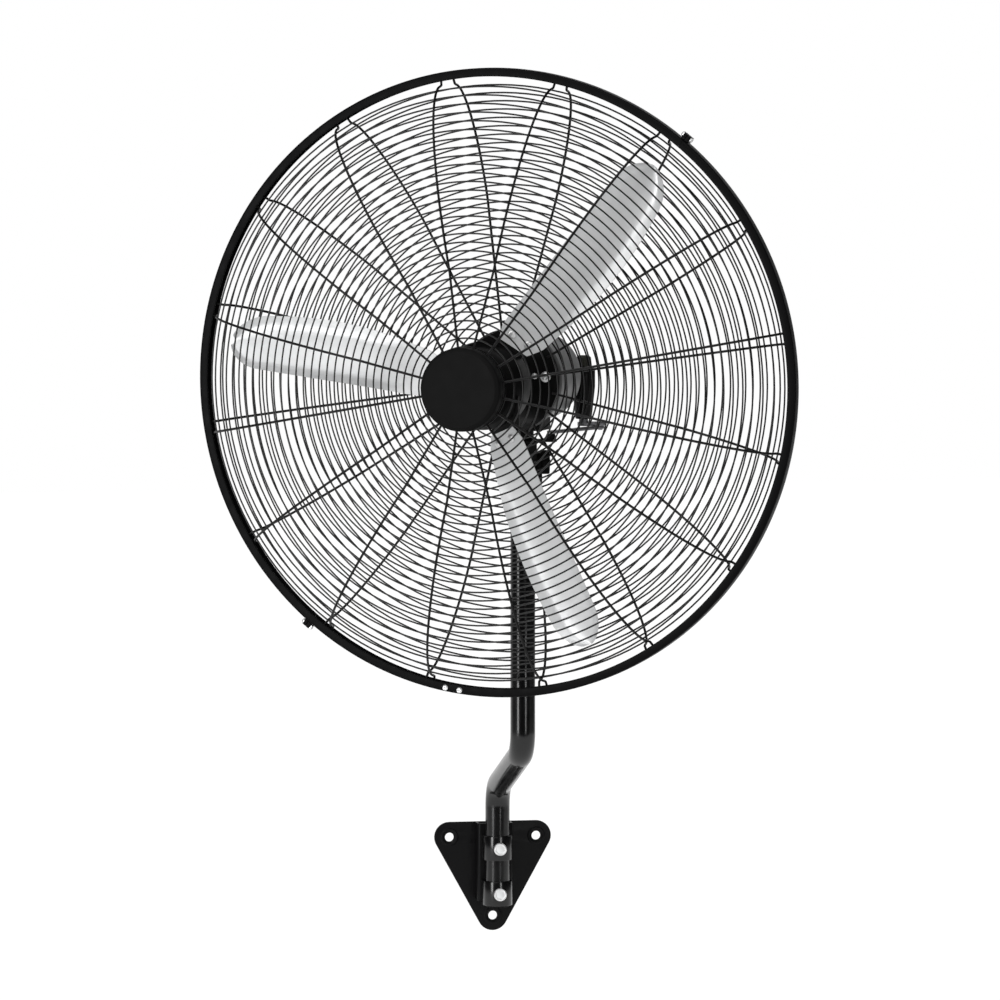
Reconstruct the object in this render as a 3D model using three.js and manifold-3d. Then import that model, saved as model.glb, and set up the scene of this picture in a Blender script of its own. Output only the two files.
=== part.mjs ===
// Oscillating wall fan with a wire guard, three blades and an S-shaped wall bracket.
// Millimetres, +Z up. The wall is the plane y = 0 and the fan blows towards -Y.
// The origin is on the back face of the wall plate, halfway between the two strap bolts.
import * as THREE from 'three';
import { mergeVertices } from 'three/addons/utils/BufferGeometryUtils.js';
import Module from 'manifold-3d';

const wasm = await Module();
wasm.setup();

// ---------- driving dimensions ----------

const FIT = 0.3; // running and seating clearance between neighbours
const REST_YAW = 29; // degrees the head is turned aside in the modelled pose
const HALF_SWEEP = 40; // degrees the head swings to each side of straight ahead

// facets of round pieces
const CAP_SIDES = 32;
const LARGE_SIDES = 20;
const ROUND_SIDES = 16;
const BOLT_SIDES = 10;
const SMALL_SIDES = 8;
const RIVET_SIDES = 6;
const CORNER_SEGMENTS = 2; // for each quarter turn or so of a drawn outline

// wall bracket
const PLATE_THICKNESS = 4;
const PLATE_CORNER_RADIUS = 20;
const PLATE_HOLE_RADIUS = 6;
const PLATE_DIMPLE_RADIUS = 10;
const PLATE_DIMPLE_DEPTH = 1;
const UPPER_HOLE_SPACING = 116;
const UPPER_HOLE_HEIGHT = 45;
const LOWER_HOLE_DROP = 60;
const CHANNEL_WIDTH = 47;
const CHANNEL_DEPTH = 20;
const CHANNEL_HEIGHT = 103;
const CHANNEL_TOP = 65; // above the origin, level with the plate's upper edge
const SHEET = 3; // sheet thickness of the channel and the straps
const STRAP_HEIGHT = 32;
const STRAP_SPACING = 60;
const STRAP_CENTRE = 5; // halfway between the strap bolts, above the origin

// support tube
const TUBE_RADIUS = 16;
const TUBE_WALL = 2;
const TUBE_BEND_RADIUS = 36;
const TUBE_BEND_ANGLE = 70; // degrees the sloping middle leans from upright
const TUBE_BEND_STEPS = 4;
const TUBE_SIDES = 14;
const TUBE_FOOT_DROP = 40; // tube end below the origin
const LOWER_BEND_HEIGHT = 90; // start of the lower bend above the origin
const AXIS_TO_WALL = 230; // oscillation axis to the wall
const FAN_HEIGHT = 665; // fan axis above the origin

// strap bolts
const STRAP_BOLT_RADIUS = 4;
const STRAP_BOLT_HEAD_RADIUS = 8.5;
const STRAP_BOLT_HEAD_HEIGHT = 5;
const STRAP_NUT_RADIUS = 7.5;
const STRAP_NUT_HEIGHT = 6;

// neck and tilt block
const SOCKET_WALL = 5;
const SOCKET_DEPTH = 42;
const SOCKET_ROOF = 5;
const TILT_DROP = 108; // tilt axis below the fan axis
const TILT_BLOCK_WIDTH = 32;
const TILT_BLOCK_RADIUS = 14;
const EAR_THICKNESS = 6;
const TILT_BOLT_RADIUS = 5;
const FLANGE_RADIUS = 20;
const FLANGE_THICKNESS = 3.5;
const PIVOT_PIN_RADIUS = 7;
const PIVOT_PIN_DEPTH = 18; // length held in the tilt block
const PIVOT_PIN_RISE = 17; // length inside the saddle
const NECK_BOLT_RADIUS = 3;

// motor
const AXIS_TO_RING = 108; // oscillation axis to the middle plane of the guard
const SHELL_RADIUS = 58;
const SHELL_WALL = 4;
const SHELL_FRONT = 72; // distances behind the middle plane of the guard
const SHELL_REAR = 196;
const FRONT_HOUSING_RADIUS = 66;
const FRONT_HOUSING_WALL = 5;
const SHAFT_RADIUS = 8;
const BEARING_RADIUS = 16;
const BEARING_WIDTH = 10;
const STATOR_LENGTH = 66;
const STATOR_BORE = 30;
const AIR_GAP = 0.6;
const SADDLE_WIDTH = 60;
const SADDLE_LENGTH = 44;
const SADDLE_THICKNESS = 8; // below the lowest line of the motor shell
const SADDLE_BOSS_RADIUS = 14;
const SADDLE_BOSS_LENGTH = 12;

// oscillation gear
const GEARBOX_DEPTH = 42;
const GEARBOX_HEIGHT = 44;
const GEARBOX_LEFT = 30;
const OUTPUT_OFFSET = 46; // vertical output shaft to the right of the motor axis
const OUTPUT_SETBACK = 20; // output shaft behind the rear end of the motor shell
const OUTPUT_BOSS_RADIUS = 15;
const OUTPUT_BOSS_TOP = 8;
const OUTPUT_BOSS_TIP_RADIUS = 10.5;
const OUTPUT_SHAFT_RADIUS = 6;
const CRANK_THICKNESS = 5;
const CRANK_WIDTH = 16;
const LINK_THICKNESS = 4;
const LINK_WIDTH = 10;
const LINK_PIN_RADIUS = 3;
const ANCHOR_RADIUS = 36; // link anchor to the oscillation axis
const ANCHOR_ANGLE = -5; // degrees from the +X axis, head straight ahead
const ANCHOR_POST_RADIUS = 6;
const KNOB_RADIUS = 11;
const KNOB_HEIGHT = 16;
const KNOB_STEM_RADIUS = 5;
const KNOB_TRAVEL = 8;

// guards
const RIM_RADIUS = 400;
const BAND_DEPTH = 11.5;
const BAND_SHEET = 1.8;
const RIM_WIRE_RADIUS = 3;
const RIM_SEGMENTS = 40;
const SPOKE_COUNT = 16;
const SPOKE_RADIUS = 1.7;
const SPOKE_SIDES = 3;
const RING_RADIUS = 1.3;
const RING_SIDES = 3;
const RING_SEGMENTS = 32;
const RIM_WIRE_SIDES = 4;
const RING_COUNT = 4;
const WIRE_LAP = 0.5; // how far crossing wires are welded into each other
const FRONT_SPOKE_ANGLE = 10.5;
const REAR_SPOKE_ANGLE = 8.5;
const GUARD_SHOULDER = 382; // radius where the wires leave the rim band
const FRONT_DEPTH_CENTRE = 116;
const FRONT_DEPTH_TURN = 98;
const FRONT_TURN_RADIUS = 150;
const FRONT_INNER_RADIUS = 46;
const REAR_DEPTH_CENTRE = 53;
const REAR_DEPTH_TURN = 70;
const REAR_TURN_RADIUS = 235;
const REAR_PLATE_RADIUS = 66;
const REAR_PLATE_BORE = 30;
const REAR_PLATE_SHEET = 2;
const GUARD_SCREW_CIRCLE = 50;
const GUARD_SCREW_RADIUS = 3;
const GUARD_SCREW_HEAD = 6;
const LUG_ANGLE = 51;
const LUG_HEIGHT = 8;
const LUG_THICKNESS = 5;
const BAND_SCREW_ANGLES = [-99.4, -96.6];
const BAND_SCREW_RADIUS = 1.6;
const BAND_SCREW_HEAD = 3.8;

// front cap
const CAP_RADIUS = 53;
const CAP_THICKNESS = 22;
const CAP_EDGE = 6;
const CAP_PLATE_SHEET = 3;
const CAP_SCREW_CIRCLE = 24;
const CAP_SCREW_RADIUS = 2.5;

// rotor
const BLADE_ANGLE = 52;
const BLADE_COUNT = 3;
const BLADE_ROOT = 62;
const BLADE_TIP = 352;
const BLADE_CHORD = 78;
const BLADE_SHEET = 2;
const BLADE_ROOT_PITCH = 27;
const BLADE_TIP_PITCH = 13;
const BLADE_ROOT_DEPTH = 42; // ahead of the middle plane of the guard
const BLADE_TIP_DEPTH = 20;
const BLADE_CAMBER = 6;
const ARM_LENGTH = 86;
const ARM_SHEET = 4;
const ARM_LEAD = 32; // how far the arm's leading edge spreads at the hub
const ARM_LEAD_BACK = 24; // and how far that corner lies back along the arm
const HUB_RADIUS = 56;
const HUB_FRONT = 66;
const HUB_BACK = 24;
const HUB_WALL = 5;
const HUB_NUT_RADIUS = 13;
const HUB_NUT_HEIGHT = 9;
const RIVET_RADIUS = 3;
const RIVET_HEAD = 5.5;
const RIVET_SHARE = 0.045; // along the blade
const RIVET_SPREAD = 0.22; // across the blade

// ---------- derived places ----------

const RAD = Math.PI / 180;
const channelFace = -(PLATE_THICKNESS + CHANNEL_DEPTH);
const tubeFootY = channelFace - FIT - TUBE_RADIUS;
const strapReach = TUBE_RADIUS + FIT + SHEET;
const tiltZ = FAN_HEIGHT - TILT_DROP;
const tubeTop = tiltZ - TILT_BLOCK_RADIUS - FIT - SOCKET_ROOF - FIT;
const saddleBottom = SHELL_RADIUS + SADDLE_THICKNESS;
const bossBottom = saddleBottom + SADDLE_BOSS_LENGTH;
const flangeTop = bossBottom + FIT;
const crankTop = saddleBottom - CRANK_THICKNESS + 1.3;
const linkTop = crankTop + CRANK_THICKNESS + FIT;
const anchorTop = linkTop + LINK_THICKNESS + FIT;
const outputY = SHELL_REAR + OUTPUT_SETBACK - AXIS_TO_RING; // output shaft behind the oscillation axis
const bandHalfWidth = 2 * RIM_WIRE_RADIUS + 1.5 * FIT + BAND_SHEET;
const rimWireRadius = RIM_RADIUS - BAND_SHEET - FIT - RIM_WIRE_RADIUS;
const rimWireOffset = RIM_WIRE_RADIUS + FIT / 2;
const platePlane = REAR_DEPTH_CENTRE + REAR_PLATE_SHEET;
const housingFront = platePlane + FIT;

// ---------- materials ----------

function finish(color, roughness, metalness) {
  return new THREE.MeshStandardMaterial({ color, roughness, metalness });
}

const blackPaint = finish(0x141414, 0.35, 0.1);
const blackCast = finish(0x1b1b1c, 0.6, 0.2);
const blackPlastic = finish(0x1a1a1b, 0.7, 0);
const greyPaint = finish(0x47494c, 0.55, 0.2);
const aluminium = finish(0xc9cccf, 0.38, 0.9);
const zincSteel = finish(0xb5b8bb, 0.4, 0.9);
const bareSteel = finish(0x8a8d90, 0.4, 0.9);
const copperCoil = finish(0x9a5a35, 0.5, 0.7);

// ---------- solids ----------

// One closed surface with shared vertices, no collapsed triangles and faces that point outwards.
function closed(geometry) {
  const loose = geometry.index ? geometry.toNonIndexed() : geometry;
  const bare = new THREE.BufferGeometry();
  bare.setAttribute('position', loose.getAttribute('position'));
  const merged = mergeVertices(bare, 1e-4);
  const at = merged.getAttribute('position');
  const corners = [];
  let volume = 0;
  const a = new THREE.Vector3();
  const b = new THREE.Vector3();
  const c = new THREE.Vector3();
  for (let i = 0; i < merged.index.count; i += 3) {
    const [p, q, r] = [0, 1, 2].map((k) => merged.index.getX(i + k));
    if (p === q || q === r || r === p) continue;
    a.fromBufferAttribute(at, p);
    b.fromBufferAttribute(at, q);
    c.fromBufferAttribute(at, r);
    volume += a.dot(b.cross(c));
    corners.push(p, q, r);
  }
  if (volume < 0) corners.reverse();
  merged.setIndex(corners);
  return merged;
}

function solid(geometry) {
  const shell = closed(geometry);
  const vertProperties = new Float32Array(shell.getAttribute('position').array);
  const triVerts = new Uint32Array(shell.index.array);
  return new wasm.Manifold(new wasm.Mesh({ numProp: 3, vertProperties, triVerts }));
}

function joined(...geometries) {
  return geometries.map(solid).reduce((sum, next) => sum.add(next));
}

function surface(body) {
  const raw = body.getMesh();
  const geometry = new THREE.BufferGeometry();
  const points = new Float32Array(raw.numVert * 3);
  for (let i = 0; i < raw.numVert; i += 1) {
    for (let k = 0; k < 3; k += 1) points[3 * i + k] = raw.vertProperties[raw.numProp * i + k];
  }
  geometry.setAttribute('position', new THREE.BufferAttribute(points, 3));
  geometry.setIndex(Array.from(raw.triVerts));
  return geometry;
}

function cut(from, ...tools) {
  const start = from instanceof THREE.BufferGeometry ? solid(from) : from;
  return tools.reduce((rest, tool) => rest.subtract(solid(tool)), start);
}

function piece(parent, name, material, shape) {
  const geometry = shape instanceof THREE.BufferGeometry ? closed(shape) : surface(shape);
  const mesh = new THREE.Mesh(geometry, material);
  mesh.name = name;
  parent.add(mesh);
  return mesh;
}

// A turned shape about the Y axis from [radius, y] points.
function turned(profile, sides) {
  return new THREE.LatheGeometry(profile.map(([r, y]) => new THREE.Vector2(r, y)), sides);
}

// The same about the Z axis, from [radius, z] points.
function turnedUp(profile, sides) {
  return turned(profile, sides).rotateX(90 * RAD);
}

function tubeRing(outer, inner, from, to, sides) {
  return turned([[inner, from], [outer, from], [outer, to], [inner, to], [inner, from]], sides);
}

// A round bar from one height to another along Y, Z or X.
function barY(radius, from, to, sides) {
  return turned([[0, from], [radius, from], [radius, to], [0, to]], sides);
}

function barZ(radius, from, to, sides) {
  return barY(radius, from, to, sides).rotateX(90 * RAD);
}

function barX(radius, from, to, sides) {
  return barY(radius, from, to, sides).rotateZ(-90 * RAD);
}

// Cutters for round holes: their flats, not their corners, lie at the radius.
function boreY(radius, from, to, sides) {
  return barY(radius / Math.cos(Math.PI / sides), from, to, sides);
}

function boreZ(radius, from, to, sides) {
  return boreY(radius, from, to, sides).rotateX(90 * RAD);
}

function boreX(radius, from, to, sides) {
  return boreY(radius, from, to, sides).rotateZ(-90 * RAD);
}

function block(x0, x1, y0, y1, z0, z1) {
  const box = new THREE.BoxGeometry(x1 - x0, y1 - y0, z1 - z0);
  return box.translate((x0 + x1) / 2, (y0 + y1) / 2, (z0 + z1) / 2);
}

// A flat shape drawn in plan and raised along Z.
function raised(shape, from, to, curveSegments = CORNER_SEGMENTS) {
  const options = { depth: to - from, bevelEnabled: false, curveSegments };
  return new THREE.ExtrudeGeometry(shape, options).translate(0, 0, from);
}

// A convex outline with every corner rounded by the same radius about the given centres.
function roundedOutline(centres, radius) {
  const shape = new THREE.Shape();
  centres.forEach(([x, y], i) => {
    const before = centres.at(i - 1);
    const after = centres[(i + 1) % centres.length];
    const start = Math.atan2(y - before[1], x - before[0]) - Math.PI / 2;
    const end = Math.atan2(after[1] - y, after[0] - x) - Math.PI / 2;
    shape.absarc(x, y, radius, start, end < start ? end + 2 * Math.PI : end, false);
  });
  return shape;
}

// A bar with round ends between two points of a plan.
function slotOutline(ax, ay, bx, by, radius) {
  return roundedOutline([[ax, ay], [bx, by]], radius);
}

// A pan head with its shank along +Y; the head's seat is at y = 0.
function panScrew(shankRadius, headRadius, headHeight, length) {
  const crown = headRadius * 0.6;
  return turned([
    [0, -headHeight], [crown, -headHeight], [headRadius, -headHeight * 0.45],
    [headRadius, 0], [shankRadius, 0], [shankRadius, length], [0, length],
  ], SMALL_SIDES);
}

// ---------- groups ----------

const fan = new THREE.Group();
const bracket = new THREE.Group();
fan.add(bracket);

const tiltFrame = new THREE.Group(); // origin on the oscillation axis at the height of the fan axis
tiltFrame.position.set(0, -AXIS_TO_WALL, FAN_HEIGHT);
fan.add(tiltFrame);

const head = new THREE.Group(); // the same origin, turned with the head
head.rotation.z = -REST_YAW * RAD;
tiltFrame.add(head);

const ringFrame = new THREE.Group(); // origin on the fan axis in the middle plane of the guard
ringFrame.position.y = -AXIS_TO_RING;
head.add(ringFrame);

// ---------- wall bracket ----------

function wallPlate() {
  const half = UPPER_HOLE_SPACING / 2;
  const corners = [[0, -LOWER_HOLE_DROP], [half, UPPER_HOLE_HEIGHT], [-half, UPPER_HOLE_HEIGHT]];
  const outline = roundedOutline(corners, PLATE_CORNER_RADIUS);
  const sheet = raised(outline, 0, PLATE_THICKNESS, 4).rotateX(90 * RAD);
  const holes = corners.flatMap(([x, z]) => [
    barY(PLATE_HOLE_RADIUS, -2 * PLATE_THICKNESS, PLATE_THICKNESS, BOLT_SIDES).translate(x, 0, z),
    barY(PLATE_DIMPLE_RADIUS, -2 * PLATE_THICKNESS, PLATE_DIMPLE_DEPTH - PLATE_THICKNESS, BOLT_SIDES)
      .translate(x, 0, z),
  ]);
  return cut(sheet, ...holes);
}

function channelSection() {
  const half = CHANNEL_WIDTH / 2;
  const back = -PLATE_THICKNESS;
  const shape = new THREE.Shape();
  shape.moveTo(-half, back);
  shape.lineTo(-half, channelFace);
  shape.lineTo(half, channelFace);
  shape.lineTo(half, back);
  shape.lineTo(half - SHEET, back);
  shape.lineTo(half - SHEET, channelFace + SHEET);
  shape.lineTo(-half + SHEET, channelFace + SHEET);
  shape.lineTo(-half + SHEET, back);
  return shape;
}

function strapBoltHoles() {
  const front = tubeFootY - 2 * strapReach;
  return [1, -1].map((side) =>
    boreY(STRAP_BOLT_RADIUS + FIT, front, -PLATE_THICKNESS - FIT, BOLT_SIDES)
      .translate(0, 0, STRAP_CENTRE + (side * STRAP_SPACING) / 2));
}

function saddleStrap(middle) {
  const inner = TUBE_RADIUS + FIT;
  const shape = new THREE.Shape();
  shape.moveTo(strapReach, channelFace);
  shape.lineTo(strapReach, tubeFootY);
  shape.absarc(0, tubeFootY, strapReach, 0, -Math.PI, true);
  shape.lineTo(-strapReach, channelFace);
  shape.lineTo(-inner, channelFace);
  shape.lineTo(-inner, tubeFootY);
  shape.absarc(0, tubeFootY, inner, -Math.PI, 0, false);
  shape.lineTo(inner, channelFace);
  return cut(raised(shape, middle - STRAP_HEIGHT / 2, middle + STRAP_HEIGHT / 2, 6), ...strapBoltHoles());
}

function strapBolt(height) {
  const seat = tubeFootY - strapReach - FIT;
  const tip = channelFace + SHEET + STRAP_NUT_HEIGHT + 2 * FIT;
  const rise = STRAP_BOLT_HEAD_HEIGHT;
  const r = STRAP_BOLT_HEAD_RADIUS;
  return turned([
    [0, seat - rise], [r * 0.55, seat - rise * 0.86], [r * 0.88, seat - rise * 0.5],
    [r, seat], [STRAP_BOLT_RADIUS, seat], [STRAP_BOLT_RADIUS, tip], [0, tip],
  ], BOLT_SIDES).translate(0, 0, height);
}

function hexNut(radius, bore, from, to, boreSides) {
  return cut(barY(radius, from, to, 6), boreY(bore, from - 1, to + 1, boreSides));
}

// The tube's centre line lies in the plane x = 0: two uprights joined by a sloping run.
class TubeRoute extends THREE.Curve {
  constructor() {
    super();
    const r = TUBE_BEND_RADIUS;
    const lean = TUBE_BEND_ANGLE * RAD;
    const reach = AXIS_TO_WALL + tubeFootY;
    const run = (reach - 2 * r * (1 - Math.cos(lean))) / Math.sin(lean);
    const upperBendEnd = LOWER_BEND_HEIGHT + 2 * r * Math.sin(lean) + run * Math.cos(lean);
    this.stations = [new THREE.Vector3(0, tubeFootY, -TUBE_FOOT_DROP)];
    for (let i = 0; i <= TUBE_BEND_STEPS; i += 1) {
      const turn = (i / TUBE_BEND_STEPS) * lean;
      this.stations.push(new THREE.Vector3(
        0, tubeFootY - r + r * Math.cos(turn), LOWER_BEND_HEIGHT + r * Math.sin(turn)));
    }
    for (let i = TUBE_BEND_STEPS; i >= 0; i -= 1) {
      const turn = (i / TUBE_BEND_STEPS) * lean;
      this.stations.push(new THREE.Vector3(
        0, -AXIS_TO_WALL + r - r * Math.cos(turn), upperBendEnd - r * Math.sin(turn)));
    }
    this.stations.push(new THREE.Vector3(0, -AXIS_TO_WALL, tubeTop));
  }

  getPoint(t, target = new THREE.Vector3()) {
    const last = this.stations.length - 1;
    const i = Math.min(Math.floor(t * last), last - 1);
    return target.lerpVectors(this.stations[i], this.stations[i + 1], t * last - i);
  }

  // Stations are kept where they are, not spread evenly along the length.
  getUtoTmapping(u) {
    return u;
  }
}

function supportTube() {
  const route = new TubeRoute();
  const section = new THREE.Shape();
  section.absarc(0, 0, TUBE_RADIUS, 0, 2 * Math.PI, false);
  const bore = new THREE.Path();
  bore.absarc(0, 0, TUBE_RADIUS - TUBE_WALL, 0, 2 * Math.PI, true);
  section.holes.push(bore);
  const pipe = new THREE.ExtrudeGeometry(section, {
    steps: route.stations.length - 1, curveSegments: TUBE_SIDES / 2, extrudePath: route,
  });
  return cut(pipe, ...strapBoltHoles(), neckBoltHole());
}

function neckBoltHole() {
  const reach = TUBE_RADIUS + SOCKET_WALL + 2 * FIT;
  return boreX(NECK_BOLT_RADIUS + FIT, -reach, reach, SMALL_SIDES)
    .translate(0, -AXIS_TO_WALL, tubeTop - SOCKET_DEPTH / 2);
}

function tubeEndPlug() {
  const inside = (TUBE_RADIUS - TUBE_WALL) * Math.cos(Math.PI / TUBE_SIDES) - FIT;
  const seat = -TUBE_FOOT_DROP - FIT;
  return turnedUp([
    [0, seat - 3], [TUBE_RADIUS - 1.5, seat - 3], [TUBE_RADIUS, seat - 1.5], [TUBE_RADIUS, seat],
    [inside, seat], [inside, seat + 10], [0, seat + 10],
  ], ROUND_SIDES).translate(0, tubeFootY, 0);
}

// Socket over the tube's top with two ears for the tilt bolt.
function neckClevis() {
  const outer = TUBE_RADIUS + FIT + SOCKET_WALL;
  const roof = tubeTop + FIT + SOCKET_ROOF;
  const cup = turnedUp([
    [0, tubeTop - SOCKET_DEPTH], [outer, tubeTop - SOCKET_DEPTH], [outer, roof - 2], [outer - 2, roof],
    [0, roof],
  ], ROUND_SIDES);
  const inside = TILT_BLOCK_WIDTH / 2 + FIT;
  const foot = TILT_BLOCK_RADIUS / 3;
  const ear = roundedOutline([[-foot, tubeTop - tiltZ], [foot, tubeTop - tiltZ], [0, 0]],
    TILT_BLOCK_RADIUS - 1);
  const ears = [inside, -inside - EAR_THICKNESS].map((x) =>
    raised(ear, 0, EAR_THICKNESS, 3).rotateY(90 * RAD).rotateX(90 * RAD).translate(x, 0, tiltZ));
  const bolt = boreX(TILT_BOLT_RADIUS + FIT, -2 * outer, 2 * outer, SMALL_SIDES).translate(0, 0, tiltZ);
  const body = joined(cup, ...ears).subtract(solid(bolt));
  const bore = boreZ(TUBE_RADIUS + FIT, tubeTop - SOCKET_DEPTH - 9, tubeTop + FIT, ROUND_SIDES);
  return body.subtract(solid(bore)).translate([0, -AXIS_TO_WALL, 0])
    .subtract(solid(neckBoltHole()));
}

function neckBolt() {
  const half = TUBE_RADIUS + FIT + SOCKET_WALL;
  return turned([
    [0, -half - 4], [4, -half - 4], [5.5, -half - 2.5], [5.5, -half - FIT], [NECK_BOLT_RADIUS, -half - FIT],
    [NECK_BOLT_RADIUS, half + FIT], [5, half + FIT], [5, half + 4], [0, half + 4],
  ], SMALL_SIDES).rotateZ(-90 * RAD).translate(0, -AXIS_TO_WALL, tubeTop - SOCKET_DEPTH / 2);
}

const tiltReach = TILT_BLOCK_WIDTH / 2 + FIT + EAR_THICKNESS;

function tiltBolt() {
  return turned([
    [0, -tiltReach - 6], [7.5, -tiltReach - 6], [9, -tiltReach - 4.5], [9, -tiltReach - FIT],
    [TILT_BOLT_RADIUS, -tiltReach - FIT], [TILT_BOLT_RADIUS, tiltReach + 10], [0, tiltReach + 10],
  ], SMALL_SIDES).rotateZ(-90 * RAD).translate(0, -AXIS_TO_WALL, tiltZ);
}

// A six-lobed hand nut on the tilt bolt.
function tiltKnob() {
  const outline = new THREE.Shape();
  const lobes = 6;
  for (let i = 0; i < lobes * 4; i += 1) {
    const angle = (i / (lobes * 4)) * 2 * Math.PI;
    const r = 15 + 2 * Math.cos(angle * lobes);
    outline[i ? 'lineTo' : 'moveTo'](r * Math.cos(angle), r * Math.sin(angle));
  }
  const grip = raised(outline, 0, 11).rotateY(90 * RAD).translate(tiltReach + FIT, 0, 0);
  const bore = boreX(TILT_BOLT_RADIUS + FIT, tiltReach - 1, tiltReach + 10 + FIT, SMALL_SIDES);
  return cut(grip, bore).translate([0, -AXIS_TO_WALL, tiltZ]);
}

piece(bracket, 'wall_plate', blackPaint, wallPlate());
piece(bracket, 'bracket_channel', blackPaint,
  cut(raised(channelSection(), CHANNEL_TOP - CHANNEL_HEIGHT, CHANNEL_TOP), ...strapBoltHoles()));
const strapHeights = [
  ['upper', STRAP_CENTRE + STRAP_SPACING / 2],
  ['lower', STRAP_CENTRE - STRAP_SPACING / 2],
];
for (const [name, height] of strapHeights) {
  piece(bracket, `saddle_strap_${name}`, blackPaint, saddleStrap(height));
  piece(bracket, `strap_bolt_${name}`, zincSteel, strapBolt(height));
  const nutSeat = channelFace + SHEET + FIT;
  piece(bracket, `strap_nut_${name}`, zincSteel,
    hexNut(STRAP_NUT_RADIUS, STRAP_BOLT_RADIUS + FIT, nutSeat, nutSeat + STRAP_NUT_HEIGHT, BOLT_SIDES)
      .translate([0, 0, height]));
}
piece(bracket, 'support_tube', blackPaint, supportTube());
piece(bracket, 'tube_end_plug', blackPlastic, tubeEndPlug());
piece(bracket, 'neck_clevis', blackCast, neckClevis());
piece(bracket, 'neck_bolt', zincSteel, neckBolt());
piece(bracket, 'tilt_bolt', zincSteel, tiltBolt());
piece(bracket, 'tilt_knob', blackPlastic, tiltKnob());

// ---------- tilt block ----------

// The link's anchor seen from the head, when the head is turned from straight ahead.
function anchorAt(turn) {
  const angle = (ANCHOR_ANGLE - turn) * RAD;
  return [ANCHOR_RADIUS * Math.cos(angle), ANCHOR_RADIUS * Math.sin(angle)];
}

const [anchorX, anchorY] = anchorAt(0);

function tiltBlock() {
  const half = TILT_BLOCK_WIDTH / 2;
  const side = new THREE.Shape();
  const top = TILT_DROP - flangeTop - FLANGE_THICKNESS / 2;
  side.moveTo(TILT_BLOCK_RADIUS, top);
  side.lineTo(-TILT_BLOCK_RADIUS, top);
  side.lineTo(-TILT_BLOCK_RADIUS, 0);
  side.absarc(0, 0, TILT_BLOCK_RADIUS, Math.PI, 2 * Math.PI, false);
  const body = raised(side, -half, half).rotateY(90 * RAD).rotateX(90 * RAD).translate(0, 0, -TILT_DROP);
  const flange = barZ(FLANGE_RADIUS, -flangeTop - FLANGE_THICKNESS, -flangeTop, LARGE_SIDES);
  const arm = raised(slotOutline(0, 0, anchorX, anchorY, ANCHOR_POST_RADIUS + 2),
    -flangeTop - FLANGE_THICKNESS, -flangeTop);
  const post = barZ(ANCHOR_POST_RADIUS, -flangeTop - FLANGE_THICKNESS / 2, -anchorTop, SMALL_SIDES)
    .translate(anchorX, anchorY, 0);
  const bolt = boreX(TILT_BOLT_RADIUS + FIT, -2 * half, 2 * half, SMALL_SIDES).translate(0, 0, -TILT_DROP);
  const pin = boreZ(PIVOT_PIN_RADIUS + FIT, -flangeTop - PIVOT_PIN_DEPTH - FIT, -flangeTop + 1, ROUND_SIDES);
  return joined(body, flange, arm, post).subtract(solid(bolt)).subtract(solid(pin));
}

piece(tiltFrame, 'tilt_block', blackCast, tiltBlock());
piece(tiltFrame, 'pivot_pin', bareSteel,
  barZ(PIVOT_PIN_RADIUS, -flangeTop - PIVOT_PIN_DEPTH, -bossBottom + PIVOT_PIN_RISE, ROUND_SIDES));

// ---------- motor ----------

function motorFrontHousing() {
  const wall = FRONT_HOUSING_WALL;
  const face = housingFront + wall;
  const seat = BEARING_RADIUS + FIT;
  const body = turned([
    [SHAFT_RADIUS + 2, housingFront - 6], [SHAFT_RADIUS + 8, housingFront - 6],
    [REAR_PLATE_BORE - 6, housingFront], [FRONT_HOUSING_RADIUS - 3, housingFront],
    [FRONT_HOUSING_RADIUS, housingFront + 3], [FRONT_HOUSING_RADIUS, SHELL_FRONT - FIT],
    [SHELL_RADIUS - SHELL_WALL, SHELL_FRONT - FIT], [SHELL_RADIUS - SHELL_WALL, face],
    [seat + 4, face], [seat + 4, face + BEARING_WIDTH], [seat, face + BEARING_WIDTH],
    [seat, face], [SHAFT_RADIUS + 2, face], [SHAFT_RADIUS + 2, housingFront - 6],
  ], LARGE_SIDES);
  const holes = guardScrewPlaces().map(([x, z]) =>
    boreY(GUARD_SCREW_RADIUS + FIT, housingFront - 1, face + 1, SMALL_SIDES).translate(x, 0, z));
  return cut(body, ...holes);
}

function motorShell() {
  const inner = SHELL_RADIUS - SHELL_WALL;
  const seat = BEARING_RADIUS + FIT;
  const endWall = SHELL_REAR - 6;
  return turned([
    [inner, SHELL_FRONT], [SHELL_RADIUS, SHELL_FRONT], [SHELL_RADIUS, SHELL_REAR - 16],
    [SHELL_RADIUS - 5, SHELL_REAR - 5], [SHELL_RADIUS - 16, SHELL_REAR], [0, SHELL_REAR],
    [0, endWall], [seat, endWall], [seat, endWall - BEARING_WIDTH],
    [seat + 4, endWall - BEARING_WIDTH], [seat + 4, endWall - 2], [inner - 10, endWall - 2],
    [inner, SHELL_REAR - 16], [inner, SHELL_FRONT],
  ], LARGE_SIDES);
}

function bearing(from) {
  return tubeRing(BEARING_RADIUS, SHAFT_RADIUS + FIT, from, from + BEARING_WIDTH - FIT, ROUND_SIDES);
}

const statorMiddle = (housingFront + FRONT_HOUSING_WALL + SHELL_REAR) / 2;

// Laminated ring with a copper end turn bulging at each side.
function motorStator() {
  const outer = SHELL_RADIUS - SHELL_WALL - FIT;
  const from = statorMiddle - STATOR_LENGTH / 2;
  const to = statorMiddle + STATOR_LENGTH / 2;
  return turned([
    [STATOR_BORE, from], [STATOR_BORE + 6, from - 8], [outer - 5, from - 8], [outer, from],
    [outer, to], [outer - 5, to + 8], [STATOR_BORE + 6, to + 8], [STATOR_BORE, to], [STATOR_BORE, from],
  ], LARGE_SIDES);
}

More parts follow.
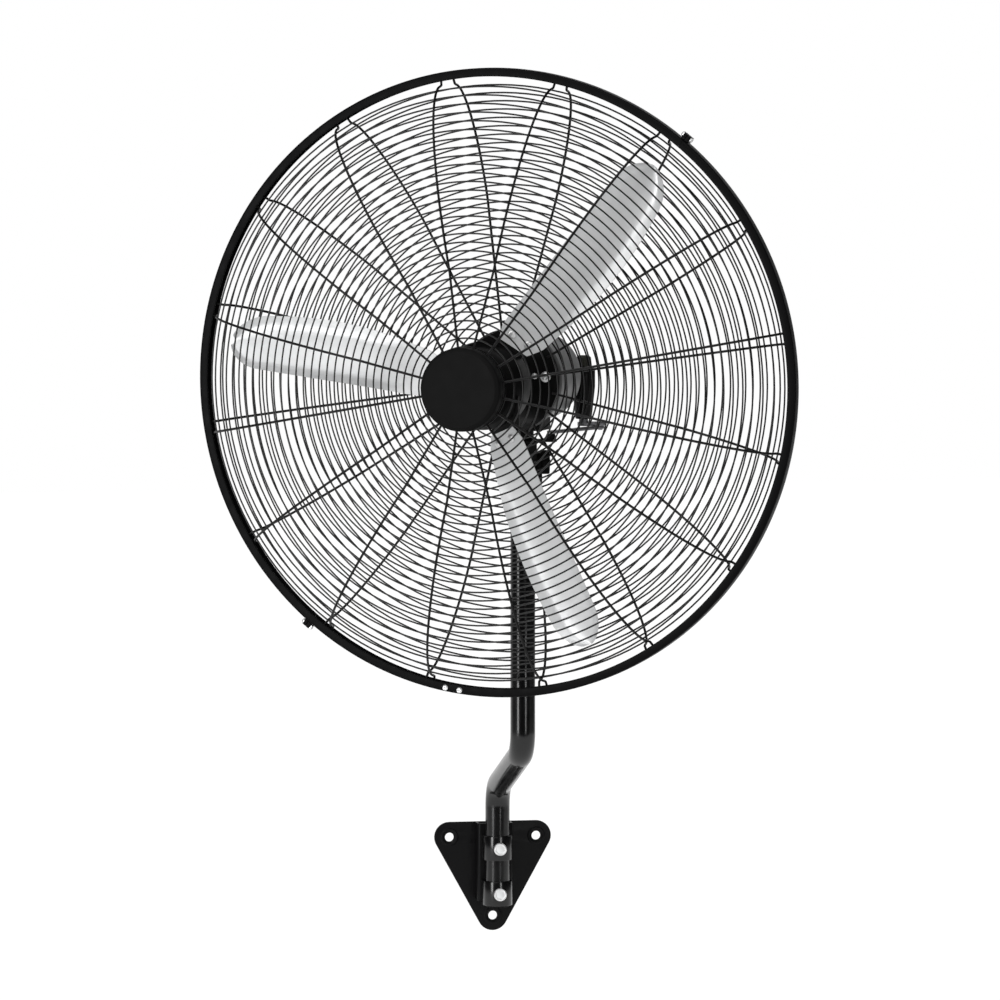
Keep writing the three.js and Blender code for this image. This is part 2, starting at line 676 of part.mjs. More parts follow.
function pivotSaddle() {
  const half = SADDLE_WIDTH / 2;
  const long = SADDLE_LENGTH / 2;
  const rise = Math.sqrt(SHELL_RADIUS ** 2 - half ** 2) - 6;
  const body = joined(block(-half, half, -long, long, -saddleBottom, -rise),
    barZ(SADDLE_BOSS_RADIUS, -bossBottom, -saddleBottom + 2, ROUND_SIDES));
  const tools = [
    boreY(SHELL_RADIUS + FIT, -2 * long, 2 * long, LARGE_SIDES),
    boreZ(PIVOT_PIN_RADIUS + FIT, -bossBottom - 1, -bossBottom + PIVOT_PIN_RISE + FIT, ROUND_SIDES),
    ...saddleScrewPlaces().flatMap(([x, y]) => [
      boreZ(3 + FIT, -saddleBottom - 1, -rise, SMALL_SIDES).translate(x, y, 0),
      boreZ(5.5 + FIT, -saddleBottom - 1, -saddleBottom + 4.5, SMALL_SIDES).translate(x, y, 0),
    ]),
  ];
  return cut(body, ...tools);
}

function saddleScrewPlaces() {
  return [[-SADDLE_WIDTH / 2 + 8, 0], [SADDLE_WIDTH / 2 - 8, 0]];
}

function guardScrewPlaces() {
  return [0, 1, 2, 3].map((i) => {
    const angle = (7 + 90 * i) * RAD;
    return [GUARD_SCREW_CIRCLE * Math.cos(angle), GUARD_SCREW_CIRCLE * Math.sin(angle)];
  });
}

piece(ringFrame, 'motor_front_housing', blackCast, motorFrontHousing());
piece(ringFrame, 'motor_shell', greyPaint, motorShell());
piece(ringFrame, 'motor_stator', copperCoil, motorStator());
piece(ringFrame, 'front_bearing', bareSteel, bearing(housingFront + FRONT_HOUSING_WALL + FIT));
piece(ringFrame, 'rear_bearing', bareSteel, bearing(SHELL_REAR - 6 - BEARING_WIDTH));
piece(head, 'pivot_saddle', blackCast, pivotSaddle());
saddleScrewPlaces().forEach(([x, y], i) => {
  const seat = -saddleBottom + 4.5;
  const shellLine = -Math.sqrt(SHELL_RADIUS ** 2 - (Math.abs(x) - 3) ** 2);
  const screw = panScrew(3, 5.5, 3.5, shellLine - seat - 2 * FIT).rotateX(90 * RAD);
  piece(head, `saddle_screw_${i + 1}`, zincSteel, screw.translate(x, y, seat - FIT));
});

// ---------- oscillation gear ----------

const gearboxFront = SHELL_REAR + FIT;

// Worm housing behind the motor with the upright boss of the output shaft at its right.
function gearboxHousing() {
  const corner = 12;
  const half = GEARBOX_HEIGHT / 2;
  const outline = roundedOutline([
    [-GEARBOX_LEFT + corner, -half + corner], [OUTPUT_OFFSET - corner, -half + corner],
    [OUTPUT_OFFSET - corner, OUTPUT_BOSS_TOP - corner - 4], [corner / 3, half - corner],
    [-GEARBOX_LEFT + corner, half - corner],
  ], corner);
  const body = raised(outline, -gearboxFront - GEARBOX_DEPTH, -gearboxFront, 2).rotateX(90 * RAD);
  const boss = turnedUp([
    [0, -saddleBottom + 8], [OUTPUT_BOSS_TIP_RADIUS, -saddleBottom + 8],
    [OUTPUT_BOSS_RADIUS, -half + 6], [OUTPUT_BOSS_RADIUS, OUTPUT_BOSS_TOP - 2],
    [OUTPUT_BOSS_RADIUS - 2, OUTPUT_BOSS_TOP], [0, OUTPUT_BOSS_TOP],
  ], ROUND_SIDES).translate(OUTPUT_OFFSET, SHELL_REAR + OUTPUT_SETBACK, 0);
  const clearShell = boreY(SHELL_RADIUS + FIT, 0, gearboxFront, LARGE_SIDES);
  const shaft = boreZ(OUTPUT_SHAFT_RADIUS + FIT, -saddleBottom - 1, -half, ROUND_SIDES)
    .translate(OUTPUT_OFFSET, SHELL_REAR + OUTPUT_SETBACK, 0);
  const stem = boreZ(KNOB_STEM_RADIUS + FIT, OUTPUT_BOSS_TOP - KNOB_TRAVEL - 8, OUTPUT_BOSS_TOP + 1,
    ROUND_SIDES).translate(OUTPUT_OFFSET, SHELL_REAR + OUTPUT_SETBACK, 0);
  return joined(body, boss).subtract(solid(clearShell)).subtract(solid(shaft)).subtract(solid(stem));
}

// The crank and link reach from the output shaft to the anchor at both ends of the sweep.
function outputToAnchor(turn) {
  const [x, y] = anchorAt(turn);
  return Math.hypot(OUTPUT_OFFSET - x, outputY - y);
}

const crankRadius = (outputToAnchor(HALF_SWEEP) - outputToAnchor(-HALF_SWEEP)) / 2;
const linkLength = (outputToAnchor(HALF_SWEEP) + outputToAnchor(-HALF_SWEEP)) / 2;

// The crank pin closes the triangle of output shaft, pin and anchor in the modelled pose.
function crankPinPlace() {
  const [x, y] = anchorAt(-REST_YAW);
  const span = outputToAnchor(-REST_YAW);
  const spread = Math.acos((crankRadius ** 2 + span ** 2 - linkLength ** 2) / (2 * crankRadius * span));
  const angle = Math.atan2(y - outputY, x - OUTPUT_OFFSET) + spread;
  return [OUTPUT_OFFSET + crankRadius * Math.cos(angle), outputY + crankRadius * Math.sin(angle)];
}

const [crankPinX, crankPinY] = crankPinPlace();

function crankArm() {
  const arm = raised(slotOutline(OUTPUT_OFFSET, outputY, crankPinX, crankPinY, CRANK_WIDTH / 2),
    -crankTop - CRANK_THICKNESS, -crankTop);
  const core = -crankTop - CRANK_THICKNESS / 2;
  const shaft = barZ(OUTPUT_SHAFT_RADIUS, core, -GEARBOX_HEIGHT / 2 - FIT, ROUND_SIDES)
    .translate(OUTPUT_OFFSET, outputY, 0);
  const pin = barZ(LINK_PIN_RADIUS, -linkTop - LINK_THICKNESS - 1.5, core, SMALL_SIDES)
    .translate(crankPinX, crankPinY, 0);
  return joined(arm, shaft, pin);
}

function driveLink() {
  const [x, y] = anchorAt(-REST_YAW);
  const bar = raised(slotOutline(crankPinX, crankPinY, x, y, LINK_WIDTH / 2),
    -linkTop - LINK_THICKNESS, -linkTop);
  const eye = boreZ(LINK_PIN_RADIUS + FIT, -linkTop - LINK_THICKNESS - 1, -linkTop + 1, SMALL_SIDES)
    .translate(crankPinX, crankPinY, 0);
  return cut(bar, eye);
}

function clutchKnob() {
  const stem = KNOB_STEM_RADIUS;
  const seat = OUTPUT_BOSS_TOP + FIT;
  return turnedUp([
    [0, seat - KNOB_TRAVEL - 6], [stem, seat - KNOB_TRAVEL - 6], [stem, seat], [KNOB_RADIUS - 2, seat],
    [KNOB_RADIUS, seat + 2], [KNOB_RADIUS - 1.5, seat + KNOB_HEIGHT - 3],
    [KNOB_RADIUS - 4, seat + KNOB_HEIGHT], [0, seat + KNOB_HEIGHT],
  ], ROUND_SIDES).translate(OUTPUT_OFFSET, outputY, 0);
}

function cableGland() {
  const y = SHELL_REAR + GEARBOX_DEPTH / 2;
  const bottom = -GEARBOX_HEIGHT / 2 - FIT;
  const body = turnedUp([
    [4, bottom], [9, bottom], [9, bottom - 5], [7.5, bottom - 7], [7, bottom - 15], [5.5, bottom - 18],
    [4, bottom - 18], [4, bottom],
  ], SMALL_SIDES);
  return body.translate(-GEARBOX_LEFT / 2, y, 0);
}

piece(ringFrame, 'gearbox_housing', blackCast, gearboxHousing());
piece(ringFrame, 'cable_gland', blackPlastic, cableGland());
piece(head, 'clutch_knob', blackPlastic, clutchKnob());
piece(head, 'crank_arm', bareSteel, crankArm());
piece(head, 'drive_link', zincSteel, driveLink());

// ---------- guards ----------

// Distance of the wires from the middle plane: a straight cone, then a quarter ellipse to the rim.
function wireDepth(radius, innerRadius, centreDepth, turnDepth, turnRadius) {
  if (radius < turnRadius) {
    const share = (radius - innerRadius) / (turnRadius - innerRadius);
    return centreDepth + (turnDepth - centreDepth) * share;
  }
  const share = Math.min((radius - turnRadius) / (GUARD_SHOULDER - turnRadius), 1);
  return bandHalfWidth + (turnDepth - bandHalfWidth) * Math.sqrt(1 - share ** 2);
}

const frontDepth = (r) =>
  wireDepth(r, FRONT_INNER_RADIUS, FRONT_DEPTH_CENTRE, FRONT_DEPTH_TURN, FRONT_TURN_RADIUS);
const rearDepth = (r) =>
  wireDepth(r, REAR_PLATE_RADIUS, REAR_DEPTH_CENTRE, REAR_DEPTH_TURN, REAR_TURN_RADIUS);

// A closed wire ring whose facets start at the given angle.
function wireRing(radius, depth, wire, sides, segments, angle) {
  const ring = new THREE.TorusGeometry(radius, wire, sides, segments);
  return ring.rotateX(90 * RAD).rotateY(-angle * RAD).translate(0, depth, 0);
}

// A bent wire in the plane through the fan axis, from the centre out into the rim.
function spoke(side, innerRadius, depthAt, angle) {
  const shares = [0, 0.31, 0.62, 0.84, 0.97];
  const points = shares.map((share) => {
    const r = innerRadius + (GUARD_SHOULDER - innerRadius) * share;
    return new THREE.Vector3(r, side * depthAt(r), 0);
  });
  points.push(new THREE.Vector3(GUARD_SHOULDER + 2, side * (rimWireOffset + 2), 0));
  points.push(new THREE.Vector3(rimWireRadius, side * rimWireOffset, 0));
  const route = new THREE.CatmullRomCurve3(points, false, 'chordal');
  route.getUtoTmapping = (u) => u;
  const corners = Array.from({ length: SPOKE_SIDES }, (_, k) => {
    const turn = (k / SPOKE_SIDES) * 2 * Math.PI;
    return new THREE.Vector2(SPOKE_RADIUS * Math.cos(turn), SPOKE_RADIUS * Math.sin(turn));
  });
  return new THREE.ExtrudeGeometry(new THREE.Shape(corners), {
    steps: points.length - 1, extrudePath: route,
  }).rotateY(-angle * RAD);
}

// All wires of one guard half as one welded grille.
function grille(side, innerRadius, firstRing, depthAt, firstAngle, ...extra) {
  const wires = [];
  const inset = SPOKE_RADIUS + RING_RADIUS / 2 - WIRE_LAP;
  const halfFacet = 180 / RING_SEGMENTS;
  for (let i = 0; i < RING_COUNT; i += 1) {
    const radius = firstRing + ((GUARD_SHOULDER - 8 - firstRing) * i) / (RING_COUNT - 1);
    wires.push(wireRing(radius / Math.cos(halfFacet * RAD), side * (depthAt(radius) - inset),
      RING_RADIUS, RING_SIDES, RING_SEGMENTS, firstAngle + halfFacet));
  }
  wires.push(wireRing(rimWireRadius, side * rimWireOffset, RIM_WIRE_RADIUS, RIM_WIRE_SIDES, RIM_SEGMENTS,
    LUG_ANGLE));
  for (let i = 0; i < SPOKE_COUNT; i += 1) {
    wires.push(spoke(side, innerRadius, depthAt, firstAngle + (360 / SPOKE_COUNT) * i));
  }
  return joined(...wires, ...extra);
}

function rearGuard() {
  const plate = tubeRing(REAR_PLATE_RADIUS, REAR_PLATE_BORE, REAR_DEPTH_CENTRE, platePlane, LARGE_SIDES);
  const lap = REAR_PLATE_RADIUS - 7;
  const wires = grille(1, lap, REAR_PLATE_RADIUS + 24,
    (r) => rearDepth(Math.max(r, REAR_PLATE_RADIUS)), REAR_SPOKE_ANGLE, plate);
  const holes = guardScrewPlaces().map(([x, z]) =>
    boreY(GUARD_SCREW_RADIUS + FIT, REAR_DEPTH_CENTRE - 4, platePlane + 1, SMALL_SIDES).translate(x, 0, z));
  const behind = tubeRing(REAR_PLATE_RADIUS + 1, 1, platePlane, platePlane + 10, LARGE_SIDES);
  return cut(wires, ...holes, behind);
}

function frontGuard() {
  return grille(-1, FRONT_INNER_RADIUS, FRONT_INNER_RADIUS, frontDepth, FRONT_SPOKE_ANGLE);
}

// Half of the channel-section hoop that clamps both rims, with a lug at each end.
function bandHalf(side) {
  const lip = RIM_RADIUS - BAND_DEPTH;
  const wall = bandHalfWidth - BAND_SHEET;
  const hoop = turned([
    [lip, -bandHalfWidth], [RIM_RADIUS, -bandHalfWidth], [RIM_RADIUS, bandHalfWidth], [lip, bandHalfWidth],
    [lip, wall], [RIM_RADIUS - BAND_SHEET, wall], [RIM_RADIUS - BAND_SHEET, -wall], [lip, -wall],
    [lip, -bandHalfWidth],
  ], RIM_SEGMENTS);
  const wide = 2 * RIM_RADIUS;
  const split = block(-wide, wide, -wide, wide, -wide, FIT / 2);
  const lugs = [1, -1].map((end) =>
    block(-LUG_HEIGHT / 2 - 0.5, LUG_HEIGHT / 2, -bandHalfWidth + 3, bandHalfWidth - 3,
      FIT / 2, LUG_THICKNESS).translate(end * (RIM_RADIUS + LUG_HEIGHT / 2 - 0.6), 0, 0));
  const holes = [1, -1].map((end) =>
    boreZ(2 + FIT, -1, LUG_THICKNESS + 1, SMALL_SIDES).translate(end * lugHoleRadius, 0, 0));
  let half = cut(hoop, split);
  lugs.forEach((lug) => { half = half.add(solid(lug)); });
  const flat = surface(cut(half, ...holes));
  if (side < 0) flat.rotateY(180 * RAD);
  flat.rotateY(-LUG_ANGLE * RAD);
  const screwHoles = bandScrewPlaces().map(([x, z]) =>
    boreY(BAND_SCREW_RADIUS + FIT, -bandHalfWidth - 1, 0, SMALL_SIDES).translate(x, 0, z));
  return side < 0 ? cut(flat, ...screwHoles) : flat;
}

// Two small screws in the front flange, side by side near the lowest point.
function bandScrewPlaces() {
  const r = RIM_RADIUS - BAND_DEPTH / 2;
  return BAND_SCREW_ANGLES.map((angle) => [r * Math.cos(angle * RAD), r * Math.sin(angle * RAD)]);
}

const lugHoleRadius = RIM_RADIUS + LUG_HEIGHT / 2 + 0.6;

function lugBolt(end) {
  const seat = LUG_THICKNESS + FIT;
  return turned([
    [0, -seat - 3], [2.8, -seat - 3], [3.7, -seat - 1.5], [3.7, -seat], [2, -seat],
    [2, seat], [3.6, seat], [3.6, seat + 3], [0, seat + 3],
  ], SMALL_SIDES).rotateX(-90 * RAD).translate(end * lugHoleRadius, 0, 0).rotateY(-LUG_ANGLE * RAD);
}

function frontCap() {
  const back = -FRONT_DEPTH_CENTRE - SPOKE_RADIUS - FIT;
  const face = back - CAP_THICKNESS;
  const bore = CAP_SCREW_RADIUS + FIT;
  const body = turned([
    [0, face], [CAP_RADIUS - CAP_EDGE, face], [CAP_RADIUS - CAP_EDGE * 0.3, face + CAP_EDGE * 0.3],
    [CAP_RADIUS, face + CAP_EDGE], [CAP_RADIUS, back], [0, back],
  ], CAP_SIDES);
  const holes = [1, -1].map((side) => boreY(bore, back - 10, back + 1, SMALL_SIDES)
    .translate(side * CAP_SCREW_CIRCLE, 0, 0));
  return cut(body, ...holes);
}

const capPlateFront = -FRONT_DEPTH_CENTRE + SPOKE_RADIUS + 2 * RING_RADIUS + FIT;

function capBackingPlate() {
  const plate = barY(CAP_RADIUS - 3, capPlateFront, capPlateFront + CAP_PLATE_SHEET, LARGE_SIDES);
  const boss = barY(CAP_SCREW_CIRCLE + 8, -FRONT_DEPTH_CENTRE - SPOKE_RADIUS, capPlateFront + 1, LARGE_SIDES);
  const holes = [1, -1].map((side) => boreY(CAP_SCREW_RADIUS + FIT, -2 * FRONT_DEPTH_CENTRE, 0, SMALL_SIDES)
    .translate(side * CAP_SCREW_CIRCLE, 0, 0));
  return joined(plate, boss).subtract(solid(holes[0])).subtract(solid(holes[1]));
}

piece(ringFrame, 'rear_guard', blackPaint, rearGuard());
guardScrewPlaces().forEach(([x, z], i) => {
  const screw = panScrew(GUARD_SCREW_RADIUS, GUARD_SCREW_HEAD, 4, FRONT_HOUSING_WALL + 1);
  piece(ringFrame, `guard_screw_${i + 1}`, zincSteel, screw.translate(x, REAR_DEPTH_CENTRE - FIT, z));
});
piece(ringFrame, 'front_guard', blackPaint, frontGuard());
piece(ringFrame, 'rim_band_upper', blackPaint, bandHalf(1));
piece(ringFrame, 'rim_band_lower', blackPaint, bandHalf(-1));
piece(ringFrame, 'band_bolt_right', zincSteel, lugBolt(1));
piece(ringFrame, 'band_bolt_left', zincSteel, lugBolt(-1));
bandScrewPlaces().forEach(([x, z], i) => {
  const screw = panScrew(BAND_SCREW_RADIUS, BAND_SCREW_HEAD, 2.4, BAND_SHEET);
  piece(ringFrame, `band_screw_${i + 1}`, zincSteel, screw.translate(x, -bandHalfWidth - FIT, z));
});
piece(ringFrame, 'front_cap', blackPlastic, frontCap());
piece(ringFrame, 'cap_backing_plate', blackPaint, capBackingPlate());
[1, -1].forEach((side, i) => {
  const screw = panScrew(CAP_SCREW_RADIUS, 4.5, 3, 14).rotateZ(180 * RAD);
  const seat = capPlateFront + CAP_PLATE_SHEET + FIT;
  piece(ringFrame, `cap_screw_${i + 1}`, zincSteel, screw.translate(side * CAP_SCREW_CIRCLE, seat, 0));
});

// ---------- rotor ----------

// The blade's front skin, along the radius (share s) and across the chord (share u from -0.5 to 0.5).
function bladePoint(s, u, chordScale = 1, drop = 0) {
  const r = BLADE_ROOT + (BLADE_TIP - BLADE_ROOT) * s;
  const swell = 0.62 + 0.38 * Math.sin(Math.PI * Math.min(1, 0.1 + s * 0.75));
  const taper = s > 0.8 ? Math.sqrt(Math.max(0.12, 1 - ((s - 0.8) / 0.205) ** 2)) : 1;
  const root = s < 0.06 ? Math.sqrt(0.55 + 0.45 * (Math.max(s, 0) / 0.06)) : 1;
  const chord = BLADE_CHORD * swell * taper * root * chordScale;
  const pitch = (BLADE_ROOT_PITCH + (BLADE_TIP_PITCH - BLADE_ROOT_PITCH) * s) * RAD;
  const sweep = -8 * Math.sin(Math.PI * s);
  const depth = BLADE_ROOT_DEPTH + (BLADE_TIP_DEPTH - BLADE_ROOT_DEPTH) * s * (1.6 - 0.6 * s);
  const across = u * chord;
  const bulge = BLADE_CAMBER * (1 - 4 * u * u) * Math.min(1, Math.max(0, s - 0.1) * 5);
  return new THREE.Vector3(
    r, -depth - across * Math.sin(pitch) + bulge * Math.cos(pitch) + drop,
    sweep + across * Math.cos(pitch) + bulge * Math.sin(pitch));
}

// A thin closed sheet between a grid of points and the same grid moved back along +Y.
function thinSheet(pointAt, rows, columns, thickness) {
  const front = [];
  const back = [];
  for (let i = 0; i <= rows; i += 1) {
    for (let j = 0; j <= columns; j += 1) {
      const point = pointAt(i, j);
      front.push(point);
      back.push(point.clone().add(new THREE.Vector3(0, thickness, 0)));
    }
  }
  const points = [...front, ...back];
  const faces = [];
  const quad = (a, b, c, d) => faces.push(a, b, c, a, c, d);
  const stride = columns + 1;
  const half = front.length;
  for (let i = 0; i < rows; i += 1) {
    for (let j = 0; j < columns; j += 1) {
      const k = i * stride + j;
      quad(k, k + 1, k + stride + 1, k + stride);
      quad(half + k, half + k + stride, half + k + stride + 1, half + k + 1);
    }
  }
  const edge = (a, b) => quad(a, half + a, half + b, b);
  for (let j = 0; j < columns; j += 1) {
    edge(j, j + 1);
    edge(rows * stride + j + 1, rows * stride + j);
  }
  for (let i = 0; i < rows; i += 1) {
    edge((i + 1) * stride, i * stride);
    edge(i * stride + columns, (i + 1) * stride + columns);
  }
  const geometry = new THREE.BufferGeometry().setFromPoints(points);
  geometry.setIndex(faces);
  return geometry;
}

const BLADE_STATIONS = [0, 0.04, 0.1, 0.28, 0.48, 0.68, 0.84, 0.93, 0.98, 1];
const BLADE_COLUMNS = 4;

function blade() {
  const sheet = thinSheet((i, j) => bladePoint(BLADE_STATIONS[i], j / BLADE_COLUMNS - 0.5),
    BLADE_STATIONS.length - 1, BLADE_COLUMNS, BLADE_SHEET);
  return cut(sheet, ...rivetHoles());
}

function bladeTurn(k) {
  return -(BLADE_ANGLE + (360 / BLADE_COUNT) * k) * RAD;
}

// Something along +Y moved to a rivet's place, square to the blade's root.
function atRivet(shape, side) {
  const seat = bladePoint(RIVET_SHARE, side * RIVET_SPREAD);
  return shape.rotateX(BLADE_ROOT_PITCH * RAD).translate(seat.x, seat.y, seat.z);
}

function rivetHoles() {
  return [1, -1].map((side) => atRivet(boreY(RIVET_RADIUS + FIT, -12, 16, RIVET_SIDES), side));
}

function rivet(side) {
  const grip = BLADE_SHEET + ARM_SHEET + 2 * FIT;
  return atRivet(turned([
    [0, -3], [RIVET_HEAD * 0.7, -2.6], [RIVET_HEAD, -2 * FIT], [RIVET_RADIUS, -2 * FIT], [RIVET_RADIUS, grip],
    [RIVET_HEAD, grip], [RIVET_HEAD * 0.7, grip + 2], [0, grip + 2],
  ], RIVET_SIDES), side);
}

function bladeHub() {
  const hollow = HUB_RADIUS - HUB_WALL;
  const boss = SHAFT_RADIUS + 12;
  const cup = turned([
    [SHAFT_RADIUS + FIT, -HUB_FRONT], [HUB_RADIUS - 12, -HUB_FRONT], [HUB_RADIUS - 3, -HUB_FRONT + 5],
    [HUB_RADIUS, -HUB_FRONT + 14], [HUB_RADIUS, -HUB_BACK], [hollow, -HUB_BACK],
    [hollow, -HUB_FRONT + HUB_WALL + 4], [boss, -HUB_FRONT + HUB_WALL + 4], [boss, -HUB_BACK],
    [SHAFT_RADIUS + FIT, -HUB_BACK], [SHAFT_RADIUS + FIT, -HUB_FRONT],
  ], LARGE_SIDES);
  const armShare = (ARM_LENGTH - BLADE_ROOT) / (BLADE_TIP - BLADE_ROOT);
  const startShare = (HUB_RADIUS - 2 - BLADE_ROOT) / (BLADE_TIP - BLADE_ROOT);
  const rows = 2;
  const columns = 2;
  const arms = [];
  for (let k = 0; k < BLADE_COUNT; k += 1) {
    const sheet = thinSheet((i, j) => {
      const s = startShare + ((armShare - startShare) * i) / rows;
      const point = bladePoint(s, (j / columns - 0.5) * (0.84 - 0.1 * i), 1, BLADE_SHEET + FIT);
      const spread = j === columns ? 1 - i / rows : 0;
      point.x -= ARM_LEAD_BACK * spread;
      point.y -= ARM_LEAD * spread * Math.sin(BLADE_ROOT_PITCH * RAD);
      point.z += ARM_LEAD * spread * Math.cos(BLADE_ROOT_PITCH * RAD);
      return point;
    }, rows, columns, ARM_SHEET);
    arms.push(surface(cut(sheet, ...rivetHoles())).rotateY(bladeTurn(k)));
  }
  return joined(cup, ...arms);
}

piece(ringFrame, 'motor_shaft', bareSteel,
  barY(SHAFT_RADIUS, -HUB_FRONT - HUB_NUT_HEIGHT - 2, SHELL_REAR - 6 - FIT, ROUND_SIDES));
piece(ringFrame, 'blade_hub', blackCast, bladeHub());
for (let k = 0; k < BLADE_COUNT; k += 1) {
  piece(ringFrame, `blade_${k + 1}`, aluminium, surface(blade()).rotateY(bladeTurn(k)));
  piece(ringFrame, `blade_rivet_${k + 1}a`, zincSteel, rivet(1).rotateY(bladeTurn(k)));
  piece(ringFrame, `blade_rivet_${k + 1}b`, zincSteel, rivet(-1).rotateY(bladeTurn(k)));
}
piece(ringFrame, 'hub_nut', zincSteel, hexNut(HUB_NUT_RADIUS, SHAFT_RADIUS + FIT,
  -HUB_FRONT - FIT - HUB_NUT_HEIGHT, -HUB_FRONT - FIT, ROUND_SIDES));
piece(ringFrame, 'rotor_core', bareSteel, tubeRing(STATOR_BORE - AIR_GAP, SHAFT_RADIUS + FIT,
  statorMiddle - STATOR_LENGTH / 2, statorMiddle + STATOR_LENGTH / 2, LARGE_SIDES));

export default fan;
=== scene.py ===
# Wall fan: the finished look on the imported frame. Sizes are in millimetres until a piece is placed.
import math

import bmesh
import bpy
from mathutils import Matrix, Vector


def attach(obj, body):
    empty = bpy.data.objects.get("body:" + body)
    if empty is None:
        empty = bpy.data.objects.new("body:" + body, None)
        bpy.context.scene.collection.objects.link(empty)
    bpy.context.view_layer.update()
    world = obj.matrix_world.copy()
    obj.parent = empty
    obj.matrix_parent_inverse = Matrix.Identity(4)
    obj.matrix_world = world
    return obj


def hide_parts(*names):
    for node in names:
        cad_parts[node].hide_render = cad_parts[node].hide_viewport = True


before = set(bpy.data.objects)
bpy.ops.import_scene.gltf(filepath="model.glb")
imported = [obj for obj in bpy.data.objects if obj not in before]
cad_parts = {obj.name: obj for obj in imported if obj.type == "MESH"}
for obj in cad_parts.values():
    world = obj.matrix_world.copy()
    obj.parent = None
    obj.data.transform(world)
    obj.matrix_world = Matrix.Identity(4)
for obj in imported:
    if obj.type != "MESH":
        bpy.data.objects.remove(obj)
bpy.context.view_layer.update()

# ---------- places ----------

MM = 0.001  # one millimetre in metres
REST_YAW = math.radians(29)  # how far the head is turned at rest
AXIS_TO_WALL = 230  # the wall to the upright axis that the head swings on
FAN_HEIGHT = 665  # the fan axis above the origin
AXIS_TO_RING = 108  # the swing axis to the middle of the hoop
TILT_HEIGHT = 557  # the tilt bolt above the origin
TILT_DROP = FAN_HEIGHT - TILT_HEIGHT
GAP = 0.3  # clearance between pieces that fit together

WALL = Matrix.Scale(MM, 4)
TILT = WALL @ Matrix.Translation((0, -AXIS_TO_WALL, FAN_HEIGHT))
HEAD = TILT @ Matrix.Rotation(-REST_YAW, 4, "Z")
RING = HEAD @ Matrix.Translation((0, -AXIS_TO_RING, 0))


def turn(angle):
    """A turn about the fan axis that takes +X towards +Z."""
    return Matrix.Rotation(-angle, 4, "Y")


def shift(x, y, z):
    return Matrix.Translation((x, y, z))


UPRIGHT = Matrix.Rotation(math.radians(90), 4, "X")  # a turned piece's axis from +Y to +Z
CROSSWISE = Matrix.Rotation(math.radians(-90), 4, "Z")  # a turned piece's axis from +Y to +X
SIDEWAYS = UPRIGHT @ Matrix.Rotation(math.radians(90), 4, "Y")  # a flat outline's face from +Z to +X

# ---------- materials ----------


class Recipe:
    """A node material under construction."""

    def __init__(self, name):
        self.material = bpy.data.materials.new(name)
        self.material.use_nodes = True
        self.nodes = self.material.node_tree.nodes
        self.links = self.material.node_tree.links
        self.shader = self.nodes["Principled BSDF"]

    def add(self, kind, settings=None, **inputs):
        node = self.nodes.new(kind)
        for key, value in (settings or {}).items():
            setattr(node, key, value)
        for key, value in inputs.items():
            socket = node.inputs[key.replace("_", " ")]
            if isinstance(value, bpy.types.NodeSocket):
                self.links.new(value, socket)
            else:
                socket.default_value = value
        return node

    def noise(self, scale, detail=3.0, stretch=None, uv=False):
        where = self.add("ShaderNodeTexCoord").outputs["UV" if uv else "Object"]
        if stretch:
            where = self.add("ShaderNodeMapping", Vector=where, Scale=stretch).outputs["Vector"]
        made = self.add("ShaderNodeTexNoise", Vector=where, Scale=scale, Detail=detail)
        return made.outputs["Fac"]

    def ramp(self, value, low, high):
        made = self.add("ShaderNodeMapRange", Value=value, From_Min=0.3, From_Max=0.7, To_Min=low,
                        To_Max=high)
        return made.outputs["Result"]

    def tint(self, value, dark, light):
        node = self.add("ShaderNodeMix", {"data_type": "RGBA"})
        self.links.new(value, node.inputs["Factor"])
        node.inputs[6].default_value = (*dark, 1)
        node.inputs[7].default_value = (*light, 1)
        self.links.new(node.outputs[2], self.shader.inputs["Base Color"])

    def rough(self, socket):
        self.links.new(socket, self.shader.inputs["Roughness"])

    def bumps(self, height, distance, strength=1.0):
        node = self.add("ShaderNodeBump", Height=height, Distance=distance, Strength=strength)
        self.links.new(node.outputs["Normal"], self.shader.inputs["Normal"])

    def set(self, **values):
        for key, value in values.items():
            self.shader.inputs[key.replace("_", " ")].default_value = value


def paint(name, dark, light, rough, spread, peel_scale, depth, specular):
    """A cloudy coat with the fine peel of paint or the grain of a moulding."""
    made = Recipe(name)
    cloudy = made.noise(9, 4)
    made.tint(cloudy, dark, light)
    made.rough(made.ramp(made.noise(60, 5), rough - spread, rough + spread))
    made.bumps(made.noise(peel_scale, 2), depth)
    made.set(Specular_IOR_Level=specular)
    return made.material


def metal(name, dark, light, rough, spread, grain_scale, stretch=None, uv=False, metallic=1.0,
          depth=0.00002):
    """Plated, ground or brushed metal; stretch draws its grain out into lines."""
    made = Recipe(name)
    grain = made.noise(grain_scale, 6, stretch, uv)
    made.tint(made.noise(25, 4), dark, light)
    made.rough(made.ramp(grain, rough - spread, rough + spread))
    made.bumps(grain, depth, 0.6)
    made.set(Metallic=metallic)
    return made.material


